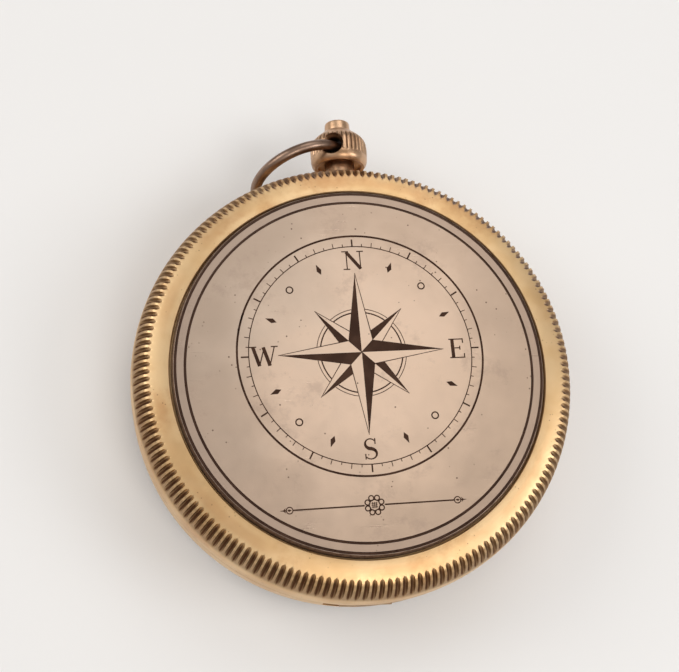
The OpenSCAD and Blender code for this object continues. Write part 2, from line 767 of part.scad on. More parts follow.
module needle_jewel() {
  color([0.62, 0.16, 0.14]) rotate_extrude($fn = 48) polygon([
    [jewel_hollow_d / 2, jewel_z], [jewel_d / 2, jewel_z], [jewel_d / 2, jewel_z + jewel_h],
    [0, jewel_z + jewel_h], [0, jewel_z + jewel_hollow_h]
  ]);
}

// Flat ring round the cup that hides the latch and the lid spring
module deck_ring() {
  slot_w = 2 * (nut_r + lid_gap);
  color([0.76, 0.64, 0.42]) difference() {
    translate([0, 0, deck_z]) cylinder(h = deck_t, r = base_in_r - seat_gap, $fn = 180);
    translate([0, 0, deck_z - cut]) cylinder(h = deck_t + 2 * cut, r = cup_r + seat_gap, $fn = 180);
    block(-slot_w / 2, slot_w / 2, cup_r / 2, case_r, deck_z - cut, cup_top_z + cut);
    block(-hinge_l / 2 - lid_gap, hinge_l / 2 + lid_gap, -case_r, -low_r + spring_t + free_gap,
      deck_z - cut, cup_top_z + cut);
    for (a = post_angles) rotate([0, 0, a]) translate([post_r, 0, 0]) {
      translate([0, 0, deck_z - cut]) cylinder(h = deck_t + 2 * cut, d = screw_d);
      translate([0, 0, cup_top_z - screw_head_h]) cylinder(h = deck_t, d = screw_head_d + 2 * seat_gap);
    }
  }
}

module deck_screws() {
  color("silver") for (a = post_angles) rotate([0, 0, a]) translate([post_r, 0, 0])
    screw(cup_top_z - screw_head_h, deck_screw_l - lid_gap, screw_head_d);
}

// Open ring whose two ends turn in the knob's cross hole
module bow() {
  end_angle = asin(bow_end / bow_r);
  color([0.55, 0.45, 0.35]) bow_axis() rotate([0, 0, 180 - bow_swing]) rotate([90, 0, 0])
    translate([bow_r - bow_offset, 0, 0]) rotate([0, 0, 180 + end_angle])
      rotate_extrude(angle = 360 - 2 * end_angle) translate([bow_r, 0])
        circle(d = bow_wire_d, $fn = 32);
}

lid_ring();
lid_plate();
lid_lining();
lid_catch();
lid_knuckle();
base_shell();
back_plate();
case_knuckles();
hinge_pin();
lid_spring();
lid_spring_screws();
pendant_neck();
pendant_nut();
crown_knob();
push_button();
button_stem();
button_spring();
latch_lever();
latch_bracket();
latch_pin();
latch_screws();
compass_cup();
cup_screws();
dial_card();
chapter_ring();
glass_gasket();
glass();
glass_ring();
pivot_post();
needle();
needle_cap();
needle_jewel();
deck_ring();
deck_screws();
bow();
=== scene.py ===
# %% [markdown]
# # A lidded pocket compass in antique brass
#
# The compass lies closed on its back. What shows is the outside of its lid: a brass ring with a milled
# edge, an engraved bronzed plate let into it, a fluted crown with a push button, and a wire bow. Under the
# lid are a glass, a needle and a dial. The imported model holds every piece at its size. Here each piece gets
# its finished surface.

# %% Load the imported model
import json
import math

import bmesh
import bpy
import numpy as np
from mathutils import Matrix, Vector


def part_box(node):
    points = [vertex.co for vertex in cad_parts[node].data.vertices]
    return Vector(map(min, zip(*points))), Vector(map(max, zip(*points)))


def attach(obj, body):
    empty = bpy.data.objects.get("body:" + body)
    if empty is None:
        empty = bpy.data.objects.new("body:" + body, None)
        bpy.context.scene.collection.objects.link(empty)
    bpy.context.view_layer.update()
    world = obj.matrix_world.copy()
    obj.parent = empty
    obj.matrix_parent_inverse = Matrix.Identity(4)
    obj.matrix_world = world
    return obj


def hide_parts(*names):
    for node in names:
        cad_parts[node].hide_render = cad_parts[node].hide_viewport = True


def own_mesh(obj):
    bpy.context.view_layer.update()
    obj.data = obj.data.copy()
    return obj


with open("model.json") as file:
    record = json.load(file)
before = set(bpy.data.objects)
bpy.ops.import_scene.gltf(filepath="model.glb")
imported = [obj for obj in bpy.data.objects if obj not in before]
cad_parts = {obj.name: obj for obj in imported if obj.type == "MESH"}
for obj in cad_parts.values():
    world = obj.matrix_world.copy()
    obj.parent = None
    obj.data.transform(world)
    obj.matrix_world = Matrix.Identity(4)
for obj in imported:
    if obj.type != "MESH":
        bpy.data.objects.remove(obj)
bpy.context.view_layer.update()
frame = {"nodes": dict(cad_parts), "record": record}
MM = 0.001


def span(node):
    """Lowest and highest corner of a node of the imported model, in millimetres."""
    low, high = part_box(node)
    return np.array(low) / MM, np.array(high) / MM


behaviour = frame["record"]["behaviour"]
body_of = {node: body for body, nodes in behaviour["bodies"].items() for node in nodes}

# %% [markdown]
# ## Sizes
#
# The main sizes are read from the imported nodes, so the looks follow the model. What a box can't tell, such
# as the width of the bezel, is named here once, in millimetres.

# %% Sizes of the case
lid_low, lid_high = span("lid_ring")
case_r = lid_high[0]
lid_z = lid_low[2]
bezel_rise = 0.6
face_z = lid_high[2] - bezel_rise
shoulder_w = 2.9
bezel_w = 3.6
shoulder_h = 8.4
face_r = case_r - shoulder_w
bezel_in_r = face_r - bezel_w
lining_low, lining_high = span("lid_lining")
ledge_z = lining_high[2]
ledge_r = 29.5
lid_in_r = case_r - 2.1
plate_low, plate_high = span("lid_plate")
plate_r = plate_high[0]
plate_crown = 0.3
plate_top_z = plate_high[2] - plate_crown
seam_z = 13.0
back_rise = 0.35
print("case", 2 * case_r, "mm across,", plate_high[2], "mm high")

# %% [markdown]
# ## Mesh helpers
#
# Almost every piece is turned on a lathe in real life, so one helper turns an outline round an axis.
# Another rounds the outline's corners first: a corner with no radius catches no light, and every real edge
# is broken.

# %% Build a mesh object from points and faces
SAME_POINT = 2e-7


def put(name, data):
    """A new object in the scene that shows the given data."""
    thing = bpy.data.objects.new(name, data)
    bpy.context.scene.collection.objects.link(thing)
    return thing


def shade(mesh, sharp):
    """Shades a mesh smooth and keeps its edges sharp above an angle in degrees."""
    mesh.polygons.foreach_set("use_smooth", np.ones(len(mesh.polygons), bool))
    mesh.set_sharp_from_angle(angle=math.radians(sharp))


def carry_grime(mesh, grime):
    """Gives a mesh its grime and painted shade: a number at each point, by which the finishes darken the metal.
    """
    mesh.attributes.new("grime", "FLOAT", "POINT").data.foreach_set("value", grime.astype(np.float32))


def belong(piece, finish, node, replaced=True):
    """Gives a piece its finish, and the body of the node that it stands for or lies on."""
    piece.data.materials.append(finish)
    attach(piece, body_of[node])
    if replaced:
        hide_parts(node)
    return piece


def add_piece(name, points, faces, finish, node, replaced=True, sharp=34, grime=None):
    """Makes a closed, smooth-shaded mesh from points in millimetres, which belongs to a node."""
    mesh = bpy.data.meshes.new(name)
    mesh.from_pydata(np.asarray(points, float) * MM, [], faces)
    if grime is not None:
        carry_grime(mesh, grime)
    work = bmesh.new()
    work.from_mesh(mesh)
    bmesh.ops.remove_doubles(work, verts=work.verts, dist=SAME_POINT)
    bmesh.ops.recalc_face_normals(work, faces=work.faces)
    work.to_mesh(mesh)
    work.free()
    shade(mesh, sharp)
    mesh.update()
    return belong(put(name, mesh), finish, node, replaced)


def grid_quads(rows, columns, closed_rows=True):
    """Quads of a grid whose columns run round a ring; closed_rows joins the last row to the first."""
    last = rows if closed_rows else rows - 1
    i, j = np.meshgrid(np.arange(last), np.arange(columns), indexing="ij")
    k, m = (i + 1) % rows, (j + 1) % columns
    quads = np.stack([i * columns + j, i * columns + m, k * columns + m, k * columns + j], -1)
    return quads.reshape(-1, 4).tolist()


def tube_faces(rows, columns):
    """Quads of a grid whose columns run round, and one face over each of its two ends."""
    end = (rows - 1) * columns
    caps = [list(range(columns)), list(range(end + columns - 1, end - 1, -1))]
    return grid_quads(rows, columns, False) + caps


def ring_angles(columns):
    """Angles of so many columns round a full turn."""
    return np.arange(columns) * 2 * np.pi / columns


def ring_points(radius, angle, height):
    """Points of a grid, row by row, from their radius and angle about Z and their height."""
    grid = np.broadcast_arrays(radius * np.cos(angle), radius * np.sin(angle), height)
    return np.stack(grid, -1).reshape(-1, 3)


# %% Turn outlines on a lathe
def soften(corners, radius=0.12, steps=3, closed=True):
    """Rounds the corners of an outline.

    Each corner is cut back by radius, or by 40% of its shorter side, and the cuts are joined by the curve
    (1-t)^2 start + 2t(1-t) corner + t^2 end. An open outline keeps its two end points.
    """
    p = np.asarray(corners, float)
    before, after = np.roll(p, 1, 0) - p, np.roll(p, -1, 0) - p
    length_b = np.linalg.norm(before, axis=1, keepdims=True)
    length_a = np.linalg.norm(after, axis=1, keepdims=True)
    reach = np.minimum(radius, 0.4 * np.minimum(length_b, length_a))
    start, end = p + before / length_b * reach, p + after / length_a * reach
    t = np.linspace(0, 1, steps + 1)[None, :, None]
    curve = (1 - t) ** 2 * start[:, None] + 2 * t * (1 - t) * p[:, None] + t**2 * end[:, None]
    if not closed:
        return np.vstack([p[:1], curve[1:-1].reshape(-1, 2), p[-1:]])
    return curve.reshape(-1, 2)


def on_crown(points):
    """Places a turned piece on the crown's axis, which lies along +Y at the height of the seam."""
    x, y, z = points.T
    return np.stack([x, z, seam_z - y], -1)


def turn_outline(outline, columns):
    """Points of an outline of (radius, height) pairs swung round Z, row by row."""
    r, z = np.asarray(outline, float).T
    return ring_points(r[:, None], ring_angles(columns), z[:, None])


def lathe(node, outline, finish, columns=256, place=None, radius=0.12, grime=None):
    """Turns a closed outline into a solid that stands for a node.

    The outline may start and end on the axis, at the solid's poles. Without a place the axis is the
    case's own.
    """
    outline = np.asarray(outline, float)
    solid = outline[0, 0] == 0 and outline[-1, 0] == 0
    rounded = soften(outline, radius, closed=not solid)
    points = turn_outline(rounded, columns)
    if place:
        points = place(points)
    faces = grid_quads(len(rounded), columns, closed_rows=not solid)
    add_piece(node + "_turned", points, faces, finish, node, grime=grime(points) if grime else None)


# %% [markdown]
# ## Finishes
#
# A finish is a small node tree round one Principled shader. All patterns are worked out from the object's
# own coordinates in metres, so they stay on the piece when it moves. A short class keeps the trees
# readable.

# %% A builder for node trees
class Nodes:
    """Short ways to add nodes to a tree."""

    def __init__(self, tree):
        self.tree = tree

    def add(self, kind, values=None, **settings):
        """Adds a node; values sets or links its inputs by name or number."""
        node = self.tree.nodes.new(kind)
        for key, value in settings.items():
            setattr(node, key, value)
        for key, value in (values or {}).items():
            self.feed(node.inputs[key], value)
        return node

    def feed(self, socket, value):
        """Links an output to a socket or sets a plain value; a colour of three numbers becomes opaque."""
        if isinstance(value, bpy.types.NodeSocket):
            self.tree.links.new(value, socket)
        elif socket.type == "RGBA":
            socket.default_value = (*value, 1.0)
        else:
            socket.default_value = value

    def math(self, operation, a, b, clamp=False):
        """The result of one Math node."""
        return self.add("ShaderNodeMath", {0: a, 1: b}, operation=operation, use_clamp=clamp).outputs[0]

    def times(self, a, b):
        """a multiplied by b."""
        return self.math("MULTIPLY", a, b)

    def plus(self, a, b):
        """a and b together."""
        return self.math("ADD", a, b)

    def less(self, a, b):
        """a without b."""
        return self.math("SUBTRACT", a, b)

    def step(self, value, low, high):
        """0 below low, 1 above high, smooth between."""
        values = {"Value": value, "From Min": low, "From Max": high}
        return self.add("ShaderNodeMapRange", values, interpolation_type="SMOOTHSTEP").outputs["Result"]

    def mix(self, share, first, second):
        """Colour mix: share 0 gives first, 1 gives second."""
        return self.add("ShaderNodeMix", {0: share, 6: first, 7: second}, data_type="RGBA").outputs[2]

    def ramp(self, value, *stops):
        """A colour ramp; each stop is (place, colour)."""
        node = self.add("ShaderNodeValToRGB", {"Fac": value})
        points = node.color_ramp.elements
        while len(points) < len(stops):
            points.new(0.5)
        for point, (where, colour) in zip(points, stops):
            point.position = where
            point.color = (*colour, 1.0)
        return node.outputs["Color"]


class Finish(Nodes):
    """One material round a Principled shader; its colour is built up in layers, as the tone."""

    def __init__(self, name, metallic=1.0, roughness=0.35):
        self.material = bpy.data.materials.new(name)
        self.material.use_nodes = True
        super().__init__(self.material.node_tree)
        self.shader = self.tree.nodes["Principled BSDF"]
        self.feed(self.shader.inputs["Metallic"], metallic)
        self.feed(self.shader.inputs["Roughness"], roughness)
        self.place = self.add("ShaderNodeTexCoord").outputs["Object"]
        self.tone = None

    def over(self, colour, share, amount=None):
        """Lays a colour over the tone by a share, thinned by an amount if one is given."""
        if amount is not None:
            share = self.times(share, amount)
        self.tone = self.mix(share, self.tone, colour)

    def noise(self, per_mm, detail=3.0, roughness=0.55):
        """Smooth noise with so many waves in a millimetre."""
        values = {"Vector": self.place, "Scale": per_mm / MM, "Detail": detail, "Roughness": roughness}
        return self.add("ShaderNodeTexNoise", values).outputs["Fac"]

    def patches(self, low, high, *noise):
        """Soft patches: noise that is 0 below low and 1 above high."""
        return self.step(self.noise(*noise), low, high)

    def uneven(self, base, amount, *noise):
        """A base value with so much noise on top."""
        return self.plus(self.times(self.noise(*noise), amount), base)

    def grime(self):
        """The grime and painted shade that the mesh carries at each point."""
        return self.add("ShaderNodeAttribute", attribute_name="grime").outputs["Fac"]

    def flat(self):
        """The place with its height left out."""
        part = self.add("ShaderNodeSeparateXYZ", {"Vector": self.place}).outputs
        return self.add("ShaderNodeCombineXYZ", {"X": part[0], "Y": part[1]}).outputs[0]

    def radius(self):
        """Distance from the case's axis, in metres."""
        return self.add("ShaderNodeVectorMath", {0: self.flat()}, operation="LENGTH").outputs["Value"]

    def ring_streaks(self, per_mm, along_turn=3.5):
        """Fine lines that run round the Z axis: noise over the radius, slow along the turn."""
        way = self.add("ShaderNodeVectorMath", {0: self.flat()}, operation="NORMALIZE").outputs["Vector"]
        way = self.add("ShaderNodeSeparateXYZ", {"Vector": way}).outputs
        stretched = self.add("ShaderNodeCombineXYZ", {
            "X": self.times(self.radius(), per_mm / MM),
            "Y": self.times(way[0], along_turn), "Z": self.times(way[1], along_turn)}).outputs[0]
        values = {"Vector": stretched, "Scale": 1.0, "Detail": 2.0}
        return self.add("ShaderNodeTexNoise", values).outputs["Fac"]

    def specks(self, per_mm, size):
        """Small round spots, 1 inside them: the near part of the distance to random points."""
        values = {"Vector": self.place, "Scale": per_mm / MM, "Randomness": 1.0}
        distance = self.add("ShaderNodeTexVoronoi", values).outputs["Distance"]
        return self.less(1.0, self.step(distance, size * 0.6, size))

    def bump(self, height, depth_mm, chained=None):
        """Turns a height of 0 to 1 into a normal; depth_mm is the height of 1."""
        values = {"Height": height, "Strength": 1.0, "Distance": depth_mm * MM}
        if chained is not None:
            values["Normal"] = chained
        return self.add("ShaderNodeBump", values).outputs["Normal"]

    def let_through(self, share, colour=(1.0, 1.0, 1.0)):
        """Lets a share of the light pass straight through, tinted with a colour."""
        clear = self.add("ShaderNodeBsdfTransparent", {"Color": colour}).outputs[0]
        both = self.add("ShaderNodeMixShader", {0: share, 1: self.shader.outputs[0], 2: clear}).outputs[0]
        self.feed(self.tree.nodes["Material Output"].inputs["Surface"], both)

    def done(self, roughness=None, normal=None):
        """Feeds the tone and what else is given to the shader, and hands out the material."""
        for key, value in (("Base Color", self.tone), ("Roughness", roughness), ("Normal", normal)):
            if value is not None:
                self.feed(self.shader.inputs[key], value)
        return self.material


# %% [markdown]
# ### The case's brass
#
# Handled brass is never one colour. The bezel is a pale worn gold, copper-coloured patina spreads in soft
# patches, and grime stays in the notches, where no thumb rubs it off. The mesh carries a number that is high
# in the notches and below them, and the finish darkens the metal with it: partly grime, partly painted shade,
# which darkens the whole milled side and draws a dark line along each notch floor.

# %% Brass of the lid ring and the lower shell
def case_brass():
    """Worn gold clouded with straw, coppery patches, a dull band by the shoulder, grime with painted shade on
    the milled side, and spots.
    """
    finish = Finish("case_brass")
    gold, straw = (0.69, 0.45, 0.222), (0.77, 0.543, 0.30)
    copper, umber_dirt_and_shade = (0.58, 0.325, 0.15), (0.125, 0.05, 0.019)
    finish.tone = finish.mix(finish.patches(0.36, 0.64, 0.11), gold, straw)
    finish.over(copper, finish.patches(0.52, 0.66, 0.045, 6.0, 0.7), 0.8)
    radius = finish.radius()
    dull = finish.times(finish.step(radius, 0.0322, 0.0331), finish.step(radius, 0.0348, 0.0338))
    finish.over(copper, finish.times(dull, finish.patches(0.40, 0.62, 0.07)), 0.45)
    # Grime and painted shade from the mesh: darker notches, a dark line along each notch floor, a darker milled
    # side.
    grime = finish.grime()
    finish.over(umber_dirt_and_shade, finish.step(grime, 0.02, 1.0))
    finish.over(umber_dirt_and_shade, finish.times(finish.specks(1.1, 0.16), finish.patches(0.50, 0.62, 0.3)), 0.5)
    rough = finish.plus(finish.times(grime, 0.20), 0.30)
    rough = finish.plus(rough, finish.times(finish.noise(0.6, detail=5.0), 0.22))
    normal = finish.bump(finish.ring_streaks(7.0), 0.004)
    return finish.done(rough, finish.bump(finish.noise(1.6, detail=4.0), 0.014, normal))


# %% [markdown]
# ### The engraved plate
#
# The plate was bronzed, so it is duller and greyer than the ring round it: a soft sheen, mottled from taupe
# to mauve, with pin-prick stains, and hairline scratches in no order. Painted light is laid into its colour
# too: cooler on one side, warmer on the other, and darker towards its edge.

# %% Bronzed plate
def bronzed_plate():
    """Taupe with painted light, cooler on one side and warmer on the other and darker outwards, with stains and
    scratches.
    """
    finish = Finish("bronzed_plate", metallic=0.85)
    taupe, lit_warm, shaded_cool = (0.80, 0.60, 0.455), (0.82, 0.605, 0.445), (0.70, 0.555, 0.44)
    edge_shade, mauve, stain = (0.38, 0.28, 0.21), (0.34, 0.245, 0.20), (0.09, 0.05, 0.035)
    part = finish.add("ShaderNodeSeparateXYZ", {"Vector": finish.place}).outputs
    # Painted light: the plate is cooler on one side and warmer on the other.
    light_side = finish.less(part[0], finish.times(part[1], 0.6))
    light_side = finish.plus(light_side, finish.times(finish.less(finish.noise(0.06, detail=4.0), 0.5), 0.05))
    finish.tone = finish.mix(finish.step(light_side, -0.03, -0.004), shaded_cool, taupe)
    finish.over(lit_warm, finish.step(light_side, 0.0, 0.034))
    radius = finish.radius()
    # Painted shade: darker towards the edge, lighter in the middle.
    wander = finish.times(finish.less(finish.noise(0.09), 0.5), 0.02)
    finish.over(edge_shade, finish.step(finish.plus(radius, wander), 0.008, 0.030), 0.62)
    finish.over(mauve, finish.step(radius, 0.0288, 0.0293), 0.3)
    finish.over(mauve, finish.patches(0.53, 0.68, 0.12, 7.0, 0.75), 0.30)
    finish.over(stain, finish.times(finish.specks(0.8, 0.14), finish.patches(0.52, 0.6, 0.2)), 0.8)
    margin = finish.step(radius, 0.03084, 0.0309)
    rough_margin = finish.noise(1.8, detail=6.0, roughness=0.7)
    worn_margin = finish.plus(finish.times(finish.step(rough_margin, 0.3, 0.7), 0.35), 0.6)
    finish.over(stain, finish.times(margin, worn_margin))
    hair = scratch_lines(finish)
    rough = finish.less(finish.uneven(0.33, 0.22, 0.5, 5.0), finish.times(hair, 0.15))
    normal = finish.bump(hair, 0.006, finish.bump(finish.noise(0.35), 0.02))
    return finish.done(rough, finish.bump(finish.times(rough_margin, margin), 0.04, normal))


def scratch_lines(finish):
    """Hairline scratches: thin bands of noise stretched three ways, kept where a slow noise allows."""
    total = 0.0
    for turn, seed in ((0.5, 3.0), (1.6, 11.0), (2.6, 23.0)):
        turned = finish.add("ShaderNodeMapping", {
            "Vector": finish.place, "Rotation": (0, 0, turn), "Scale": (90.0, 3200.0, 1.0),
            "Location": (seed, seed, 0)}).outputs[0]
        values = {"Vector": turned, "Scale": 1.0, "Detail": 1.0}
        line = finish.add("ShaderNodeTexNoise", values).outputs["Fac"]
        total = finish.plus(finish.step(line, 0.69, 0.73), total)
    return finish.math("MULTIPLY", total, finish.patches(0.45, 0.6, 0.12), clamp=True)


# %% [markdown]
# ### Crown, bow and works
#
# The crown and bow are the same brass gone brown with handling. The works under the lid never saw a thumb,
# so they stay bright. One function makes each of these metals from two colours, a scale and a roughness.

# %% The other finishes
def worn_metal(name, light, dark, scale=0.4, rough=0.3, streaks=0.0, spots=0.0):
    """A metal mottled between two colours, with optional turning marks and dark spots."""
    finish = Finish(name)
    finish.tone = finish.mix(finish.patches(0.35, 0.68, scale, 4.0), light, dark)
    if spots:
        finish.over(tuple(0.4 * c for c in dark), finish.specks(1.4, 0.2), spots)
    normal = finish.bump(finish.noise(3.0, detail=2.0), 0.003)
    if streaks:
        normal = finish.bump(finish.ring_streaks(12.0), streaks, normal)
    return finish.done(finish.uneven(rough, 0.16, 2.2 * scale), normal)


def painted(name, light, dark, rough=0.35, grain=0.004):
    """Enamel or lacquer: not a metal, a little mottled, with a fine orange peel."""
    finish = Finish(name, metallic=0.0)
    finish.tone = finish.mix(finish.patches(0.35, 0.7, 0.25, 5.0), light, dark)
    return finish.done(finish.uneven(rough, 0.15, 1.2), finish.bump(finish.noise(1.5), grain))


def engraver_fill(name, shine, rough, grain=0.004):
    """The dark brown fill of engraved lines, with a copper-coloured shine of its own."""
    fill = painted(name, (0.032, 0.014, 0.009), (0.058, 0.028, 0.018), rough, grain)
    inputs = fill.node_tree.nodes["Principled BSDF"].inputs
    inputs["Specular IOR Level"].default_value = shine
    inputs["Specular Tint"].default_value = (1.0, 0.72, 0.55, 1.0)
    return fill


def clear_glass():
    """Glass that bends and mirrors what is seen through it, and lets the lamps' light straight through."""
    finish = Finish("clear_glass", metallic=0.0, roughness=0.02)
    finish.feed(finish.shader.inputs["Transmission Weight"], 1.0)
    finish.feed(finish.shader.inputs["IOR"], 1.5)
    finish.tone = (0.97, 0.99, 0.98)
    finish.let_through(finish.add("ShaderNodeLightPath").outputs["Is Shadow Ray"], (0.93, 0.95, 0.94))
    return finish.done(finish.times(finish.noise(0.2), 0.05))


def ruby():
    """The jewel's smooth dark red."""
    finish = Finish("ruby_jewel", metallic=0.0, roughness=0.08)
    finish.tone = finish.mix(finish.noise(1.5), (0.50, 0.02, 0.04), (0.30, 0.01, 0.03))
    return finish.done()


brass = case_brass()
plate_finish = bronzed_plate()
engraving = engraver_fill("engraving_fill", 0.22, 0.5)
ring_fill = engraver_fill("ring_fill", 0.35, 0.22, 0.03)
bow_bronze = worn_metal("bow_bronze", (0.34, 0.23, 0.17), (0.20, 0.125, 0.088), 0.3, rough=0.26, spots=0.3)
polished = worn_metal("polished_brass", (0.80, 0.575, 0.30), (0.70, 0.475, 0.23), 0.12, rough=0.13,
                      streaks=0.002)
hinge_brass = worn_metal("hinge_brass", (0.46, 0.30, 0.16), (0.28, 0.165, 0.085), 0.4, rough=0.34, spots=0.3)
works = worn_metal("works_brass", (0.68, 0.49, 0.26), (0.52, 0.35, 0.17), 0.5, rough=0.28)
steel = worn_metal("steel", (0.62, 0.62, 0.63), (0.50, 0.50, 0.51), 0.6, rough=0.22)
spring_steel = worn_metal("spring_steel", (0.36, 0.37, 0.40), (0.26, 0.27, 0.30), 0.5, rough=0.26)
blued = worn_metal("blued_steel", (0.03, 0.07, 0.30), (0.05, 0.04, 0.20), 0.2, rough=0.18)
ivory = painted("dial_enamel", (0.88, 0.80, 0.63), (0.80, 0.70, 0.51))
black_enamel = painted("ring_enamel", (0.028, 0.026, 0.024), (0.045, 0.04, 0.035), rough=0.3)
print_ink = painted("dial_print", (0.035, 0.03, 0.028), (0.06, 0.05, 0.045), rough=0.5)
pale_ink = painted("ring_print", (0.80, 0.74, 0.58), (0.70, 0.63, 0.48), rough=0.5)
red_ink = painted("dial_red", (0.42, 0.05, 0.03), (0.34, 0.04, 0.03), rough=0.5)
rubber = painted("gasket_rubber", (0.03, 0.03, 0.03), (0.05, 0.05, 0.05), rough=0.6)
glass_finish = clear_glass()
jewel = ruby()
print("finishes", len(bpy.data.materials))

# %% [markdown]
# ## The milled shells
#
# The lid ring and the lower shell have the same shoulder, and a round cutter has milled 180 notches into
# it. Each notch is cut along a straight line, while the shoulder bulges, so it is wide in the middle and
# runs out in a point. Cutting 180 cylinders out of a mesh is slow and leaves slivers. Here the grid itself
# follows the notch: eight of the twelve columns of each pitch spread to the notch's own width at that
# height, and sink to its floor.

# %% Shoulder and notches
NOTCHES = 180
CUTTER_R = 0.42
NOTCH_H = 4.0
NOTCH_TIP_SHARE = 0.79
LEAST_NOTCH_W = 0.16
NOTCH_ROWS = 13
LOW_ROWS = 5
SHOULDER_POWER = 1.8
notch_share = np.array([-1.0, -0.92, -0.60, -0.14, 0.14, 0.60, 0.92, 1.0])
land_share = np.array([0.12, 0.37, 0.63, 0.88])


def bezel_rows(t, chamfer, rise):
    """(radius, drop) pairs over the bezel, for shares t of its width; it falls as t to the power 1.5."""
    t = np.array(t)
    return np.stack([bezel_in_r + chamfer + (bezel_w - chamfer) * t, -rise * (1 - t**1.5)], -1)


def shoulder_rows():
    """(radius, drop) pairs down the shoulder: a superellipse, denser where the notches are."""
    tip = NOTCH_H / shoulder_h
    drop = np.append(tip * np.linspace(0.0, 1.0, NOTCH_ROWS) ** 1.4, np.linspace(tip, 1.0, LOW_ROWS + 1)[1:])
    out = np.clip(1 - (1 - drop) ** SHOULDER_POWER, 0, 1) ** (1 / SHOULDER_POWER)
    return np.stack([face_r + shoulder_w * out, drop * shoulder_h], -1)


def milled_points(outline):
    """Turns an outline of (radius, drop below the face) and sinks the notches into it.

    The cutter's floor is the straight line from the face edge to the shoulder. A point that stands h above
    that line is cut over a half width of sqrt(2ch - h^2), or c where h is over c, and sinks at a sideways
    distance x to c - sqrt(c^2 - x^2), where c is the cutter's radius.
    """
    start = np.array([face_r - CUTTER_R, 0.0])
    end = np.array([face_r + NOTCH_TIP_SHARE * shoulder_w, NOTCH_H])
    along = (end - start) / np.linalg.norm(end - start)
    outward = np.array([along[1], -along[0]])
    height = (outline - start) @ outward
    reach = np.minimum(np.clip(height, 0, None), CUTTER_R)
    half = np.sqrt(np.clip(2 * CUTTER_R * reach - reach**2, 0, None))
    in_notch = (outline[:, 1] < NOTCH_H + 0.3) & (height > 0) & (outline[:, 0] > face_r - 0.7)
    half = np.where(in_notch, half, 0.0)
    width = np.maximum(half, LEAST_NOTCH_W)
    pitch = 2 * np.pi / NOTCHES
    edge = (width / outline[:, 0] / pitch)[:, None]
    phase = np.hstack([edge * notch_share, edge + (1 - 2 * edge) * land_share])
    sideways = half[:, None] * notch_share
    floor = CUTTER_R - np.sqrt(np.clip(CUTTER_R**2 - sideways**2, 0, None))
    sink = np.clip(height[:, None] - floor, 0, None) * (half > 0)[:, None]
    sink[:, [0, -1]] = 0
    sink = np.hstack([sink, np.zeros((len(sink), len(land_share)))])
    angle = ((np.arange(NOTCHES)[None, :, None] + phase[:, None, :]) * pitch).reshape(len(outline), -1)
    sink = np.tile(sink, (1, NOTCHES))
    return angle, outline[:, :1] - sink * outward[0], outline[:, 1:] - sink * outward[1], sink


def grime_of(drop, sink, limit):
    """Painted shade with some grime: a brown film that darkens the whole notched band, more in the notches, and
    a dark line of painted shade along each floor.
    """
    # Painted shade: the whole milled side is darkened.
    side_shade = np.clip((drop - 0.2) / 1.0, 0, 1) * np.clip((5.4 - drop) / 1.2, 0, 1)
    middle = np.tile(np.abs(np.concatenate([notch_share, 9 + land_share])) < 0.2, NOTCHES)
    sunk = np.clip(sink / CUTTER_R, 0, 1)
    # Painted shade: a dark line along the middle of each notch floor.
    line = middle * np.clip(3 * sunk, 0, 1)
    return np.clip(0.50 * side_shade + 0.14 * np.sqrt(sunk) + 0.40 * line, 0, 1) * (drop < limit)


def milled_shell(node, outline, face, way, edge_rows, fit, limit):
    """Makes a shell from its outline of (radius, drop below the face).

    A way of -1 lays the drop downwards from the face's height and 1 upwards. The rows from the first to the last
    of edge_rows are moved by fit, and the grime and painted shade end at a drop of limit.
    """
    angle, radius, drop, sink = milled_points(outline)
    x, y, z = radius * np.cos(angle), radius * np.sin(angle), face + way * drop
    rows = slice(edge_rows[0], edge_rows[1] + 1)
    z[rows] = fit(x[rows], y[rows], z[rows])
    faces = grid_quads(*x.shape)
    print(node, len(faces) * 2, "triangles")
    add_piece(node + "_milled", np.stack([x, y, z], -1).reshape(-1, 3), faces, brass, node, sharp=40,
              grime=grime_of(drop, sink, limit).ravel())


# %% [markdown]
# ### The lid ring
#
# One closed outline runs over the bezel, down the shoulder, under the rim and back up inside. The collar at
# the foot of the crown needs a round notch in the lid's lower edge, and the hinge barrels a hollow one
# opposite: the lowest rows rise over both.

# %% Lid ring
COLLAR_NOTCH_R = 3.45
CHAMFER = 0.15
RIM_CHAMFER = 0.12
HINGE_Y = -36.5
HINGE_Z = 11.8
BARREL_HOLLOW_R = 1.65
BARREL_HOLLOW_HALF_L = 4.75


def lid_underside(x, y):
    """Lowest height of the lid at a place: its plain edge, raised over the collar and the hinge barrels."""
    low = np.full_like(x, lid_z)
    over_collar = (np.abs(x) < COLLAR_NOTCH_R) & (y > 0)
    arch = seam_z + np.sqrt(np.clip(COLLAR_NOTCH_R**2 - x**2, 0, None))
    low = np.where(over_collar, np.maximum(low, arch), low)
    over_barrel = (np.abs(x) < BARREL_HOLLOW_HALF_L) & (np.abs(y - HINGE_Y) < BARREL_HOLLOW_R)
    barrel = HINGE_Z + np.sqrt(np.clip(BARREL_HOLLOW_R**2 - (y - HINGE_Y) ** 2, 0, None))
    return np.where(over_barrel, np.maximum(low, barrel), low)


def lift_lid_edge(x, y, z):
    """Draws the rows below the notches together, so that the lowest follows the lid's underside."""
    knee = face_z - NOTCH_H
    share = np.clip((knee - z) / (knee - lid_z), 0, 1)
    return knee - share * (knee - lid_underside(x, y))


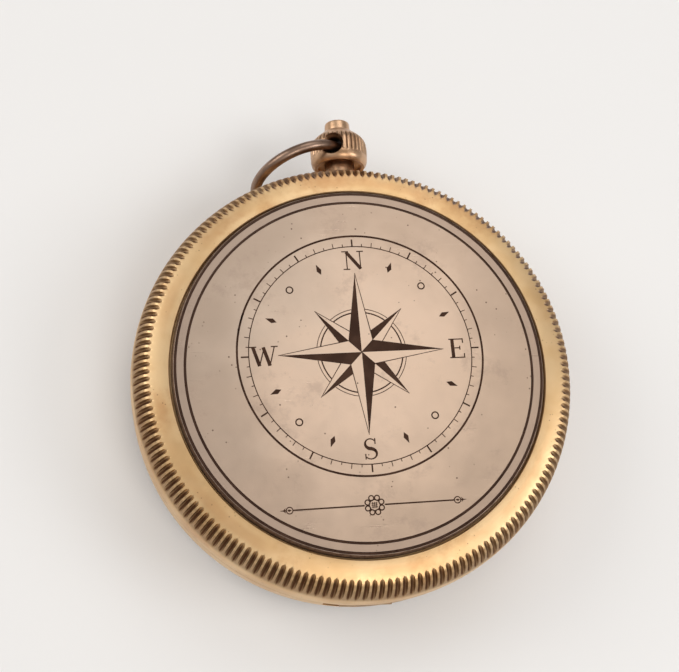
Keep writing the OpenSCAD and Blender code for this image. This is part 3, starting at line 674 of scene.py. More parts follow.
def make_lid_ring():
    """The outline runs outwards over the bezel, down the shoulder, and back up inside to the plate's seat."""
    shares = [0.0, 0.08, 0.25, 0.42, 0.58, 0.72, 0.82, 0.865, 0.905, 0.94, 0.975]
    bezel = bezel_rows(shares, CHAMFER, bezel_rise)
    shoulder = shoulder_rows()
    low, top, seat = face_z - lid_z, face_z - ledge_z, face_z - plate_low[2]
    rim = np.array([
        [case_r, low - RIM_CHAMFER], [case_r - RIM_CHAMFER, low], [37.2, low], [36.5, low],
        [lid_in_r + 0.1, low], [lid_in_r, low - RIM_CHAMFER]])
    inside = np.array([
        [lid_in_r, top + 1.8], [lid_in_r - 1.5, top], [ledge_r + 0.1, top], [ledge_r, top - 0.1],
        [ledge_r, seat + 0.1], [ledge_r + 0.1, seat], [bezel_in_r, seat],
        [bezel_in_r, -bezel_rise + CHAMFER]])
    edge_rows = (len(bezel) + NOTCH_ROWS, len(bezel) + len(shoulder) + len(rim))
    outline = np.vstack([bezel, shoulder, rim, inside])
    milled_shell("lid_ring", outline, face_z, -1, edge_rows, lift_lid_edge, low - 0.3)


make_lid_ring()

# %% [markdown]
# ### The lower shell
#
# The lower shell repeats the shoulder, upside down, on a deeper wall. Its upper edge carries the rim that
# the lid closes over, a round saddle for the neck, and a scoop behind the hinge, where the lid's edge
# swings down.

# %% Lower shell
RIM_R = 35.75
RIM_H = 1.4
RIM_EDGE = 0.15
FOOT_CHAMFER = 0.07
BASE_IN_R = 34.4
LOW_R = 33.4
DECK_Z = 12.4
SHELF_Z = 2.8
BACK_T = 1.6
SADDLE_OUT_R = 3.23
SADDLE_IN_R = 2.78
SADDLE_STEP_R = 37.5
SCOOP_R = 2.35
SCOOP_HALF_L = 7.0


def base_top(x, y):
    """Height of the shell's upper edge at a place: the seam, lowered into the neck's saddle and the scoop."""
    z = np.full_like(x, seam_z)
    saddle_r = np.where(np.hypot(x, y) > SADDLE_STEP_R, SADDLE_OUT_R, SADDLE_IN_R)
    saddle = seam_z - np.sqrt(np.clip(saddle_r**2 - x**2, 0, None))
    z = np.where((np.abs(x) < saddle_r) & (y > 0), np.minimum(z, saddle), z)
    scoop = HINGE_Z - np.sqrt(np.clip(SCOOP_R**2 - (y - HINGE_Y) ** 2, 0, None))
    scoop = np.where(y > HINGE_Y, HINGE_Z - SCOOP_R + (y - HINGE_Y) * 5, scoop)
    return np.where((np.abs(x) < SCOOP_HALF_L) & (y < HINGE_Y + 0.7), np.minimum(z, scoop), z)


def lower_base_edge(x, y, z):
    """Draws the rows above the shoulder together where the upper edge is lowered, and no lower."""
    foot = back_rise + shoulder_h
    limit = base_top(x, y)
    lowered = np.where(limit < seam_z - 1e-6, foot + (z - foot) * (limit - foot) / (seam_z - foot), z)
    return np.minimum(z, np.maximum(lowered, foot))


def make_base_shell():
    """The outline runs outwards over the back's bezel, up the wall, over the rim and down inside."""
    rise = back_rise
    bezel = bezel_rows([0.0, 0.08, 0.3, 0.5, 0.68, 0.82, 0.865, 0.905, 0.94, 0.975], FOOT_CHAMFER, rise)
    shoulder = shoulder_rows()
    wall = np.array([[case_r, z - rise] for z in (9.4, 11.2, 12.65)])
    edge = np.array([[r, seam_z - rise] for r in (37.68, 37.3, 36.7, RIM_R + 0.03)])
    high = seam_z + RIM_H - rise
    rim = np.array([
        [RIM_R, high - RIM_EDGE], [RIM_R - RIM_EDGE, high],
        [BASE_IN_R + RIM_EDGE, high], [BASE_IN_R, high - RIM_EDGE]])
    inside = np.array([
        [BASE_IN_R - 0.02, DECK_Z - rise], [LOW_R, DECK_Z - rise], [LOW_R - 0.02, SHELF_Z - rise],
        [ledge_r, SHELF_Z - rise], [ledge_r, BACK_T - rise], [bezel_in_r, BACK_T - rise],
        [bezel_in_r, FOOT_CHAMFER - rise]])
    first = len(bezel) + len(shoulder) - 1
    edge_rows = (first, first + len(wall) + len(edge) + len(rim))
    outline = np.vstack([bezel, shoulder, wall, edge, rim, inside])
    milled_shell("base_shell", outline, rise, 1, edge_rows, lower_base_edge, seam_z - rise - 0.05)


make_base_shell()

# %% [markdown]
# ## The engraved plate
#
# The plate stands a little proud of the bezel and its edge slopes down, roughly filed. Two rings are
# engraved round it. Its field is very slightly domed, which is why its sheen shifts as it is tilted.

# %% Plate
RING_OUT_R = 30.6
RING_OUT_W = 0.42
RING_IN_R = 29.0
RING_IN_W = 0.40
GROOVE_T = 0.15
FIELD_R = RING_IN_R - RING_IN_W / 2
PLATE_COLUMNS = 720


def plate_height(r):
    """Height of the plate's field: a shallow dome, flat beyond the inner ring."""
    return plate_top_z + plate_crown * np.clip(1 - (np.asarray(r) / FIELD_R) ** 2, 0, None)


def groove(middle, width):
    """Outline of one engraved ring, from the outside in: a flat floor between two steep walls."""
    low = plate_top_z - GROOVE_T
    wall = [(width / 2 + 0.02, plate_top_z), (width / 2 - 0.03, low + 0.03), (width / 2 - 0.08, low)]
    return [[middle + half, z] for half, z in wall] + [[middle - half, z] for half, z in wall[::-1]]


def fill_grooves(mesh):
    """Gives the fill, as a second material, to the faces that lie below the field in the two rings."""
    mesh.materials.append(ring_fill)
    centre = np.empty(len(mesh.polygons) * 3)
    mesh.polygons.foreach_get("center", centre)
    x, y, z = (centre.reshape(-1, 3) / MM).T
    far = np.hypot(x, y)
    sunk = (z < plate_top_z - 0.02) & (z > plate_top_z - GROOVE_T - 0.05)
    sunk &= (far > RING_IN_R - 0.3) & (far < RING_OUT_R + 0.22)
    mesh.polygons.foreach_set("material_index", sunk.astype(np.int32))


def make_plate():
    """A turned plate; three rows of its sloping edge wander by a sum of five sines, as a file leaves them."""
    slope = [[plate_r, plate_low[2]], [plate_r, plate_top_z - 0.8], [plate_r - 0.15, plate_top_z - 0.46],
             [plate_r - 0.28, plate_top_z - 0.2], [RING_OUT_R + 0.3, plate_top_z - 0.04]]
    field_r = np.array([28.6, 27.0, 24.0, 20.0, 16.0, 12.0, 8.0, 4.0, 0.0])
    field = np.stack([field_r, plate_height(field_r)], -1)
    back_r, back_z = ledge_r - 0.25, plate_low[2] + 0.8
    under = [[0.0, back_z], [back_r, back_z], [back_r, plate_low[2]]]
    outline = np.vstack([under, slope, groove(RING_OUT_R, RING_OUT_W), groove(RING_IN_R, RING_IN_W), field])
    angle = ring_angles(PLATE_COLUMNS)
    r = np.repeat(outline[:, :1], PLATE_COLUMNS, 1)
    z = np.repeat(outline[:, 1:], PLATE_COLUMNS, 1)
    filed = sum(np.sin(k * angle + k * k) / 5 for k in (23, 37, 61, 97, 143))
    for row, depth in ((5, 0.05), (6, 0.06), (7, 0.05)):
        r[row] += depth * filed
        z[row] += 0.6 * depth * np.roll(filed, 11 * row)
    piece = add_piece("lid_plate_engraved", ring_points(r, angle, z), grid_quads(*r.shape, False),
                      plate_finish, "lid_plate", sharp=30)
    fill_grooves(piece.data)


make_plate()

# %% [markdown]
# ## Engraving
#
# The engraved figures are dark fillings a few hundredths of a millimetre proud of the plate. Each is a thin
# prism over a polygon, set to the dome's height at its own corners. The lid carries a traditional compass
# rose with a degree ring, and under it the usual divider: a line with leafed ends and a knot in the middle.

# %% Helpers for engraved figures
def prisms(polygons, height, proud=0.02, deep=0.08):
    """Points and faces of thin prisms over convex polygons; height gives the surface's height at a radius."""
    points, faces = [], []
    for polygon in polygons:
        p = np.asarray(polygon, float)
        n, first = len(p), sum(len(q) for q in points)
        top = height(np.hypot(p[:, 0], p[:, 1]))
        points.append(np.column_stack([p, top + proud]))
        points.append(np.column_stack([p, top - deep]))
        faces.append(list(range(first, first + n)))
        faces.append(list(range(first + 2 * n - 1, first + n - 1, -1)))
        faces += [[first + i, first + n + i, first + n + (i + 1) % n, first + (i + 1) % n] for i in range(n)]
    return np.vstack(points), faces


def stroke(a, b, width, end_width=None):
    """A straight stroke from a to b as one polygon, tapering if end_width is given."""
    a, b = np.array(a, float), np.array(b, float)
    side = np.array([-(b - a)[1], (b - a)[0]]) / max(np.linalg.norm(b - a), 1e-9) / 2
    end = width if end_width is None else end_width
    return [a + side * width, a - side * width, b - side * end, b + side * end]


def curve_strokes(points, width):
    """A bent stroke as a chain of mitred polygons; width is one number or one for each point."""
    p = np.asarray(points, float)
    w = np.broadcast_to(width, len(p)) / 2
    way = np.gradient(p, axis=0)
    side = np.stack([-way[:, 1], way[:, 0]], -1) / np.linalg.norm(way, axis=1, keepdims=True)
    left, right = p + side * w[:, None], p - side * w[:, None]
    return [[left[i], right[i], right[i + 1], left[i + 1]] for i in range(len(p) - 1)]


def circle_strokes(centre, radius, width, steps):
    """A thin ring as a chain of polygons."""
    angle = np.linspace(0, 2 * np.pi, steps + 1)
    ring = np.stack([np.cos(angle), np.sin(angle)], -1)
    out, into = ring * (radius + width / 2) + centre, ring * (radius - width / 2) + centre
    return [[into[i], out[i], out[i + 1], into[i + 1]] for i in range(steps)]


def turned_by(polygons, degrees, shift=(0, 0)):
    """Turns polygons about the origin and then shifts them."""
    c, s = math.cos(math.radians(degrees)), math.sin(math.radians(degrees))
    turn = np.array([[c, s], [-s, c]])
    return [np.asarray(p, float) @ turn + np.array(shift) for p in polygons]


def ticks(radius, count, kinds):
    """Radial ticks outwards from a radius, each of the first (every, reach, width) that fits its number."""
    figures = []
    for k in range(count):
        reach, width = next((reach, width) for every, reach, width in kinds if k % every == 0)
        figures += turned_by([stroke((0, radius), (0, radius + reach), width)], 360 / count * k)
    return figures


def lay_figures(name, figures, finish, node, height, proud=0.02, deep=0.08, bend=None):
    """Adds figures as one piece of thin prisms that lies on a node; bend moves their points, if given."""
    points, faces = prisms(figures, height, proud, deep)
    add_piece(name, bend(points) if bend else points, faces, finish, node, replaced=False, sharp=20)


# %% Serif letters for the four winds
def letter(which, height):
    """A serif capital as polygons, centred on the origin: thick main strokes, thin hairlines, flat serifs."""
    thick, thin, serif = 0.17, 0.055, 0.34

    def foot(x, y):
        return stroke((x - serif / 2, y), (x + serif / 2, y), thin)

    if which == "N":
        parts = [stroke((-0.34, 0.03), (-0.34, 0.97), thin), stroke((0.34, 0.03), (0.34, 0.97), thin),
                 stroke((-0.34, 0.95), (0.34, 0.05), thick),
                 foot(-0.36, 0.03), foot(-0.40, 0.97), foot(0.36, 0.97)]
    elif which == "E":
        parts = [stroke((-0.2, 0.03), (-0.2, 0.97), thick), stroke((-0.38, 0.03), (0.36, 0.03), thin),
                 stroke((-0.38, 0.97), (0.33, 0.97), thin), stroke((-0.2, 0.52), (0.16, 0.52), thin),
                 stroke((0.36, 0.0), (0.36, 0.24), thin), stroke((0.33, 0.76), (0.33, 1.0), thin),
                 stroke((0.16, 0.42), (0.16, 0.62), thin)]
    elif which == "W":
        parts = [stroke((-0.52, 0.97), (-0.24, 0.02), thick), stroke((-0.24, 0.02), (0.0, 0.85), thin),
                 stroke((-0.02, 0.95), (0.26, 0.02), thick), stroke((0.26, 0.02), (0.52, 0.97), thin),
                 foot(-0.52, 0.97), foot(0.52, 0.97)]
    else:
        angle = np.radians(np.linspace(35, 270, 14))
        upper = np.stack([0.25 * np.cos(angle), 0.745 + 0.235 * np.sin(angle)], -1)
        angle = np.radians(np.linspace(90, -145, 14))
        lower = np.stack([0.28 * np.cos(angle), 0.255 + 0.245 * np.sin(angle)], -1)
        path = np.vstack([upper, lower[1:]])
        swell = thin + (thick - thin) * np.exp(-((np.linspace(-1, 1, len(path))) / 0.42) ** 2)
        parts = curve_strokes(path, swell)
        parts += [stroke((0.235, 0.72), (0.235, 1.0), thin), stroke((-0.26, 0.0), (-0.26, 0.27), thin)]
    return [(np.asarray(p, float) - np.array([0, 0.5])) * height for p in parts]


# %% A compass rose
def crossing(a, b, c, d):
    """The point where the line through a and b meets the line through c and d."""
    a, b, c, d = (np.asarray(q, float) for q in (a, b, c, d))
    along, other = b - a, d - c
    share = ((c - a)[0] * other[1] - (c - a)[1] * other[0]) / (along[0] * other[1] - along[1] * other[0])
    return a + share * along


def polar(radius, degrees):
    """A point at a radius, so many degrees to the right of straight up."""
    return radius * np.array([math.sin(math.radians(degrees)), math.cos(math.radians(degrees))])


def leaf(root, left, right, tip):
    """A pointed leaf: its left half is filled and its right half is an outline."""
    return [[root, left, tip], stroke(tip, right, 0.10, 0.16), stroke(right, root, 0.14)]


def rose(chief, chief_waist, half_wind, half_waist, quarter_wind=0.0, quarter_waist=0.0):
    """Four chief leaves; behind them four for the half winds; if asked, eight for the quarter winds.

    A leaf that lies behind begins where the edges of the leaves before it cross its own.
    """
    root, tip, flip = np.array([0, chief_waist]), np.array([0, half_wind]), np.array([-1, 1])
    half_left = crossing(tip, polar(half_waist, -45), root, polar(chief, -45))
    winds = [(0, leaf((0, 0), polar(chief_waist, -45), polar(chief_waist, 45), (0, chief))),
             (45, [[root, half_left, tip], stroke(tip, half_left * flip, 0.10, 0.15)])]
    if quarter_wind:
        tip = np.array([0, quarter_wind])
        chief_edge = (polar(chief, -22.5), polar(chief_waist, 22.5))
        half_edge = (polar(half_wind, 22.5), polar(half_waist, -22.5))
        valley = crossing(*chief_edge, *half_edge)
        near = crossing(tip, polar(quarter_waist, -22.5), *chief_edge)
        far = crossing(tip, polar(quarter_waist, 22.5), *half_edge)
        winds += [(22.5, [[valley, near, tip], stroke(tip, far, 0.08, 0.12)]),
                  (67.5, [[valley * flip, far * flip, tip], stroke(tip, near * flip, 0.08, 0.12)])]
    return [polygon for k in range(4) for turn, wind in winds for polygon in turned_by(wind, -90 * k - turn)]


def in_star(x, y, reach, waist, turn=0.0):
    """True inside a star of four leaves."""
    angle = (np.degrees(np.arctan2(x, y)) - turn + 45) % 90 - 45
    r = np.hypot(x, y)
    px, py = r * np.sin(np.radians(np.abs(angle))), r * np.cos(np.radians(np.abs(angle)))
    side = polar(waist, 45)
    return side[0] * (py - reach) - (side[1] - reach) * px < 0


def broken_circle(radius, width, stars):
    """A ring that runs behind the leaves of the given stars."""
    kept = []
    for piece in circle_strokes((0, 0), radius, width, 288):
        x, y = np.mean(piece, axis=0)
        if not any(in_star(x, y, *star) for star in stars):
            kept.append(piece)
    return kept


# %% Compass rose and divider of the lid
def lid_rose():
    """Leaves in two sizes, two inner rings behind them, two outer rings with a tick each 5 degrees between,
    eight lozenges, four small circles and the names of the winds.
    """
    winds_r, ring_r, tick_r = 16.2, 18.7, 20.6
    chief, half_wind = (13.9, 2.9), (10.4, 2.5)
    stars = [chief, (*half_wind, 45.0)]
    figures = rose(*chief, *half_wind)
    figures += broken_circle(6.9, 0.22, stars) + broken_circle(7.5, 0.12, stars)
    figures += circle_strokes((0, 0), ring_r, 0.16, 144) + circle_strokes((0, 0), tick_r, 0.34, 144)
    figures += ticks(ring_r, 72, ((6, 1.3, 0.26), (2, 0.85, 0.13), (1, 0.5, 0.13)))
    lozenge = [(0, 14.9), (-0.42, 15.7), (0, 16.9), (0.42, 15.7)]
    for k in range(8):
        figures += turned_by([lozenge], 45 * k + 22.5)
    for k in range(4):
        figures += turned_by(circle_strokes((0, 15.9), 0.55, 0.22, 24), 90 * k + 45)
    for turn, wind in ((0, "N"), (90, "E"), (180, "S"), (-90, "W")):
        figures += [p + polar(winds_r, turn) for p in letter(wind, 3.4)]
    return figures


def divider():
    """A line with a ringed leaf and a barbed tip at each end, and a knot of eight loops round a lattice."""
    figures = []
    knot_r, loop_r, half, ring_r, pieces = 1.22, 0.40, 15.0, 0.52, 9
    start, end = knot_r + loop_r, half - 1.9
    ring_x = end + ring_r
    cuts = [start + (end - start) * k / pieces for k in range(pieces + 1)]
    leaf_x, tip_x = ring_x + 0.1, ring_x + ring_r
    for side in (-1, 1):
        lines = [(a, 0, b, 0, 0.24) for a, b in zip(cuts, cuts[1:])]
        lines += [(ring_x - 0.3, 0, leaf_x, 0, 0.08, 0.42), (leaf_x, 0, ring_x + 0.34, 0, 0.42, 0.06),
                  (tip_x, 0, half + 0.1, 0, 0.30, 0.06)]
        lines += [(tip_x + 0.45, 0, tip_x + 0.1, up * 0.36, 0.2, 0.08) for up in (-1, 1)]
        figures += [stroke((side * ax, ay), (side * bx, by), *widths) for ax, ay, bx, by, *widths in lines]
        figures += circle_strokes((side * ring_x, 0), ring_r, 0.17, 24)
    for k in range(8):
        figures += circle_strokes(polar(knot_r, 22.5 + 45 * k), loop_r, 0.20, 20)
    figures += circle_strokes((0, 0), 0.86, 0.16, 36)
    for offset in (-0.3, 0.0, 0.3):
        figures += [stroke((offset, -0.5), (offset, 0.5), 0.12), stroke((-0.5, offset), (0.5, offset), 0.12)]
    return figures


ENGRAVING_TURN = 1.5
for name, figures, middle in (
        ("lid_rose", lid_rose(), (0.0, 2.2)), ("lid_divider", divider(), (0.5, -23.05))):
    lay_figures(name, turned_by(figures, ENGRAVING_TURN, middle), engraving, "lid_plate", plate_height)
    print(name, len(figures), "figures")

# %% [markdown]
# ## The crown
#
# The knob is a turned dome with flutes round it, and a cross hole for the bow. The flutes sink into the
# outline by a cosine, only between two heights. The cross hole has flared mouths, and is cut with a
# boolean.

# %% Crown knob
knob_low, knob_high = span("crown_knob")
button_low, button_high = span("push_button")
knob_y, knob_top_y = knob_low[1], knob_high[1]
knob_r = knob_high[0]
knob_l = knob_top_y - knob_y
HOLE_SHARE = 0.44
hole_y = knob_y + HOLE_SHARE * knob_l
BOW_TURN = 22.0
FLUTES = 36
FLUTE_T = 0.20
FLUTE_SHARES = (0.23, 0.81)
FLUTE_COLUMNS = 14
button_r = button_high[0]
STEM_R = 1.3
NECK_R = 2.75


def crown_finish():
    """The crown's brass, brown and pink from handling, with grime and painted shade where the mesh says so."""
    finish = Finish("crown_brass")
    finish.tone = finish.mix(finish.patches(0.35, 0.68, 0.35, 4.0), (0.66, 0.43, 0.27), (0.46, 0.27, 0.15))
    finish.over((0.13, 0.075, 0.045), finish.specks(1.4, 0.2), 0.3)
    # Grime and painted shade from the mesh: dark flute floors, cross hole, bore and joins.
    finish.over((0.075, 0.035, 0.018), finish.step(finish.grime(), 0.05, 1.0))
    return finish.done(finish.uneven(0.24, 0.18, 0.9), finish.bump(finish.noise(2.5), 0.006))


crown_brass = crown_finish()


def knob_radius(share):
    """Radius of the knob along its length, through the turned outline's points."""
    places = [0.0, 0.06, 0.16, 0.3, 0.5, 0.63, 0.74, 0.83, 0.91, 1.0]
    shares = [0.86, 0.95, 0.99, 1.0, 1.0, 0.98, 0.91, 0.80, 0.67, 0.53]
    fine = np.interp(np.linspace(0, 1, 201), places, shares)
    blurred = np.convolve(np.pad(fine, 5, mode="edge"), np.ones(11) / 11, "valid")
    return knob_r * np.interp(share, np.linspace(0, 1, 201), blurred)


def make_knob():
    """The outline is turned, and flutes sink into it by a clipped cosine of the turn, between two heights."""
    columns = FLUTES * FLUTE_COLUMNS
    low, high = FLUTE_SHARES
    share = np.concatenate([[0.0, 0.03, 0.08, 0.13, 0.18], np.linspace(low - 0.02, high + 0.02, 24),
                            [0.86, 0.9, 0.94, 0.97, 0.99, 1.0]])
    outside = np.stack([knob_radius(share), share * knob_l], -1)
    bore, stem, neck = button_r + 0.11, STEM_R + 0.05, NECK_R + 0.03
    well = button_low[1] - 1.0 - knob_y
    inside = np.array([
        [bore + 0.05, knob_l], [bore, knob_l - 0.1], [bore, well], [stem, well], [stem, 0.9], [neck, 0.9],
        [neck, 0.62], [knob_r - 1.32, 0.6], [knob_r - 1.2, 0.12], [knob_r - 1.0, 0.0]])
    outline = np.vstack([outside, inside])
    angle = (np.arange(columns) + 0.5) * 2 * np.pi / columns
    fade = np.clip((share - low) / 0.06, 0, 1) * np.clip((high - share) / 0.06, 0, 1)
    wave = np.clip(np.cos(FLUTES * angle), -0.25, 0.95) + 0.25
    dip = np.zeros((len(outline), columns))
    dip[: len(share)] = (FLUTE_T * fade)[:, None] * wave[None, :] / wave.max()
    points = ring_points(outline[:, :1] - dip, angle, outline[:, 1:] + knob_y)
    knob = add_piece("crown_knob_fluted", on_crown(points), grid_quads(len(outline), columns), crown_brass,
                     "crown_knob", sharp=40)
    cut_cross_hole(knob)


def knob_grime(mesh):
    """Grime and painted shade by depth below the turned outline: flute floors are dark, and hole and bore get
    painted shade.
    """
    flat = np.empty(len(mesh.vertices) * 3)
    mesh.vertices.foreach_get("co", flat)
    x, y, z = (flat.reshape(-1, 3) / MM).T
    share = (y - knob_y) / knob_l
    dip = np.clip(knob_radius(share) - np.hypot(x, z - seam_z), 0, None)
    flute = 0.8 * np.clip(dip / FLUTE_T, 0, 1) ** 1.5
    # Painted shade inside the cross hole, the bore and the knob's hollow underside.
    hole_shade = np.clip((dip - 0.6) / 1.2, 0, 1) * np.where(share < 0.15, 0.35, 1.0)
    in_band = (share > FLUTE_SHARES[0]) & (share < FLUTE_SHARES[1])
    return np.where((dip < 1.3 * FLUTE_T) & in_band, flute, hole_shade)


def bow_axis_place(points):
    """Places a piece turned about Z on the cross hole's axis, leaning from +Z towards -X."""
    c, s = math.cos(math.radians(BOW_TURN)), math.sin(math.radians(BOW_TURN))
    x, y, z = points.T
    return np.stack([x * c - z * s, y + hole_y, seam_z + x * s + z * c], -1)


def cut_cross_hole(knob):
    """Cuts the hole with its two flared mouths out of the knob, and keeps the result as its mesh."""
    mouth = [[1.45, knob_r - 1.5], [1.60, knob_r - 1.15], [1.95, knob_r - 0.62], [2.36, knob_r],
             [2.95, knob_r + 0.6]]
    outline = [[0, knob_r + 0.6]] + mouth[::-1] + [[r, -z] for r, z in mouth] + [[0, -knob_r - 0.6]]
    points = bow_axis_place(turn_outline(outline, 64))
    cutter = add_piece("hole_cutter", points, grid_quads(len(outline), 64, False), crown_brass, "crown_knob",
                       replaced=False)
    bpy.context.view_layer.update()
    cut = knob.modifiers.new("cross_hole", "BOOLEAN")
    cut.object, cut.operation, cut.solver = cutter, "DIFFERENCE", "EXACT"
    dressed = bpy.data.meshes.new_from_object(knob.evaluated_get(bpy.context.evaluated_depsgraph_get()))
    knob.modifiers.remove(cut)
    knob.data = dressed
    bpy.data.objects.remove(cutter)
    shade(dressed, 40)
    carry_grime(dressed, knob_grime(dressed))
    print("knob", len(dressed.polygons), "faces after the hole")


make_knob()

# %% Neck, nut, button and stem
neck_low, neck_high = span("pendant_neck")
nut_low, nut_high = span("pendant_nut")
stem_low, stem_high = span("button_stem")
COLLAR_Y = 37.6
BUTTON_SKIN = 0.42


def foot_grime(points):
    """Painted shade where the neck meets the knob and the case, and in the gap where the button enters the knob.
    """
    y = points[:, 1]
    # Painted shade in the gap round the button and at the joins of neck, knob and case.
    at_button = np.clip((knob_top_y + 0.35 - y) / 0.3, 0, 1)
    at_case = np.clip(1 - np.abs(y - COLLAR_Y - 1.0) / 0.35, 0, 1)
    at_knob = np.clip((y - knob_y + 0.5) / 0.5, 0, 1)
    return np.where(y > knob_y + 2, at_button, np.clip(0.8 * at_case + 0.8 * at_knob, 0, 1))


lathe("pendant_neck", [
    [STEM_R + 0.05, neck_low[1]], [NECK_R, neck_low[1]], [NECK_R, COLLAR_Y], [neck_high[0], COLLAR_Y],
    [neck_high[0], COLLAR_Y + 0.75], [neck_high[0] - 0.25, COLLAR_Y + 1.0], [NECK_R + 0.1, COLLAR_Y + 1.0],
    [NECK_R, COLLAR_Y + 1.1], [NECK_R, knob_y - 0.3], [NECK_R, neck_high[1]], [STEM_R + 0.05, neck_high[1]]],
    crown_brass, columns=128, place=on_crown, radius=0.1, grime=foot_grime)
lathe("pendant_nut", [
    [NECK_R + 0.03, nut_low[1]], [nut_high[0], nut_low[1]], [nut_high[0], nut_high[1]],
    [NECK_R + 0.03, nut_high[1]]], works, columns=96, place=on_crown)
top = button_high[1]
lathe("push_button", [
    [0, top], [0.9, top], [button_r - 0.42, top - 0.01], [button_r - 0.16, top - 0.10],
    [button_r - 0.06, top - 0.34], [button_r, top - 1.5],
    [button_r, knob_top_y + 0.3], [button_r, button_low[1]],
    [button_r - BUTTON_SKIN, button_low[1]], [button_r - BUTTON_SKIN, top - 1.1], [0, top - 1.1]],
    crown_brass, columns=128, place=on_crown, radius=0.16, grime=foot_grime)
lathe("button_stem", [
    [0, stem_low[1]], [0.5, stem_low[1]], [0.5, stem_low[1] + 1.2], [STEM_R, stem_low[1] + 1.2],
    [STEM_R, stem_high[1]], [0, stem_high[1]]], steel, columns=64, place=on_crown, radius=0.08)

# %% [markdown]
# ## The bow
#
# The bow is one piece of round wire bent into a ring that stops short of closing. Its ends turn in the
# knob's cross hole, either side of the button's stem. A circle carried along an arc makes it, with domed
# ends.

# %% Bow
BOW_R = 8.8
WIRE_R = 0.95
BOW_SWING = -22.0
BOW_END = 1.75
BOW_REACH_SHARE = 0.8
BOW_DOME_SHARE = 0.25


def make_bow():
    """A circle carried along an arc round the cross hole's axis; it shrinks into domed ends."""
    reach = BOW_REACH_SHARE * knob_r
    offset = (BOW_R - math.sqrt(BOW_R**2 - reach**2)) / 2
    end_angle = math.asin(BOW_END / BOW_R)
    steps, sides = 160, 32
    turn = np.linspace(np.pi + end_angle, 3 * np.pi - end_angle, steps)
    cap = np.linspace(0, np.pi / 2, 6)[:-1]
    dome = BOW_DOME_SHARE * WIRE_R
    along = np.concatenate([
        turn[0] - dome * np.cos(cap) / BOW_R, turn, turn[-1] + dome * np.sin(cap[1:]) / BOW_R])
    size = np.concatenate([WIRE_R * np.sin(cap) + 0.02, np.full(steps, WIRE_R), WIRE_R * np.cos(cap[1:])])
    size, around = size[:, None], ring_angles(sides)
    x, z, y = ring_points(BOW_R + size * np.cos(around), along[:, None], -size * np.sin(around)).T
    x = x + (BOW_R - offset)
    swing = math.radians(180 - BOW_SWING)
    c, s = math.cos(swing), math.sin(swing)
    points = bow_axis_place(np.stack([c * x - s * y, s * x + c * y, z], -1))
    return add_piece("bow_wire", points, tube_faces(len(along), sides), bow_bronze, "bow", sharp=50)


bow = make_bow()
low, high = np.array(bow.bound_box).min(0) / MM, np.array(bow.bound_box).max(0) / MM
print("bow from", low.round(2), "to", high.round(2), "node", span("bow"))

# %% [markdown]
# ## Works and fittings
#
# Latch, hinge, spring and screws are small machined pieces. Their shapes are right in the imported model, but
# every edge there is a knife. A merged copy of each gets a bevel of a few hundredths of a millimetre, which
# is what makes a machined edge catch the light.

# %% Machined pieces with broken edges
DRESS_MERGE = 2e-6
FLAT_ANGLE = 0.6
EDGE_ANGLE = 32


def dress(node, finish, width):
    """A merged copy of a node: triangles in one plane are joined, and sharp edges are bevelled by a width."""
    mesh = frame["nodes"][node].data.copy()
    mesh.name = node + "_dressed"
    work = bmesh.new()
    work.from_mesh(mesh)
    bmesh.ops.remove_doubles(work, verts=work.verts, dist=DRESS_MERGE)
    bmesh.ops.dissolve_limit(work, angle_limit=math.radians(FLAT_ANGLE), verts=work.verts, edges=work.edges)
    work.to_mesh(mesh)
    work.free()
    if "custom_normal" in mesh.attributes:
        mesh.attributes.remove(mesh.attributes["custom_normal"])
    shade(mesh, EDGE_ANGLE)
    mesh.materials.clear()
    piece = belong(put(node + "_dressed", mesh), finish, node)
    bevel = piece.modifiers.new("broken_edge", "BEVEL")
    bevel.width, bevel.segments = width * MM, 2
    bevel.limit_method, bevel.angle_limit = "ANGLE", math.radians(EDGE_ANGLE)


for node, finish, width in (
        ("lid_catch", works, 0.06), ("lid_knuckle", hinge_brass, 0.08), ("case_knuckles", hinge_brass, 0.08),
        ("hinge_pin", steel, 0.08), ("lid_spring", spring_steel, 0.05), ("lid_spring_screws", steel, 0.04),
        ("latch_lever", spring_steel, 0.07), ("latch_bracket", works, 0.06), ("latch_pin", steel, 0.06),
        ("latch_screws", steel, 0.04), ("cup_screws", steel, 0.04), ("deck_screws", steel, 0.05),
        ("deck_ring", polished, 0.06), ("compass_cup", polished, 0.08), ("back_plate", plate_finish, 0.10),
        ("dial_card", ivory, 0.04), ("glass_gasket", rubber, 0.08), ("needle_cap", polished, 0.08),
        ("needle_jewel", jewel, 0.04), ("pivot_post", steel, 0.03)):
    dress(node, finish, width)

# %% [markdown]
# ### The button's spring
#
# A compression spring is a wire carried along a helix. Its end turns lie flat against each other, so the
# pitch is small there and opens in the middle.


def make_button_spring():
    """A circle carried along a helix; the rise is slow over the end turns and even between them."""
    low, high = span("button_spring")
    wire_r, turns, steps, sides = 0.13, 6.5, 28, 10
    t = np.linspace(0, 1, int(turns * steps) + 1)[:, None]
    rise = np.interp(t, [0, 0.11, 0.89, 1], [0, 0.05, 0.95, 1])
    around = ring_angles(sides)
    length = high[1] - low[1]
    y = low[1] + wire_r + rise * (length - 2 * wire_r) + wire_r * np.sin(around)
    x, z, y = ring_points(high[0] - wire_r + wire_r * np.cos(around), 2 * np.pi * turns * t, y).T
    spring = add_piece("button_spring_wound", np.stack([x, y, seam_z + z], -1), tube_faces(len(t), sides),
                       spring_steel, "button_spring", sharp=60)
    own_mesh(spring)


make_button_spring()

# %% [markdown]
# ## Under the lid
#
# The lining of the lid is a polished disc. Under the glass lie an ivory dial with a compass rose, a black
# degree ring that slopes up to the glass, and the needle. Dial and ring carry only what every compass
# carries: the winds, and plain degrees.

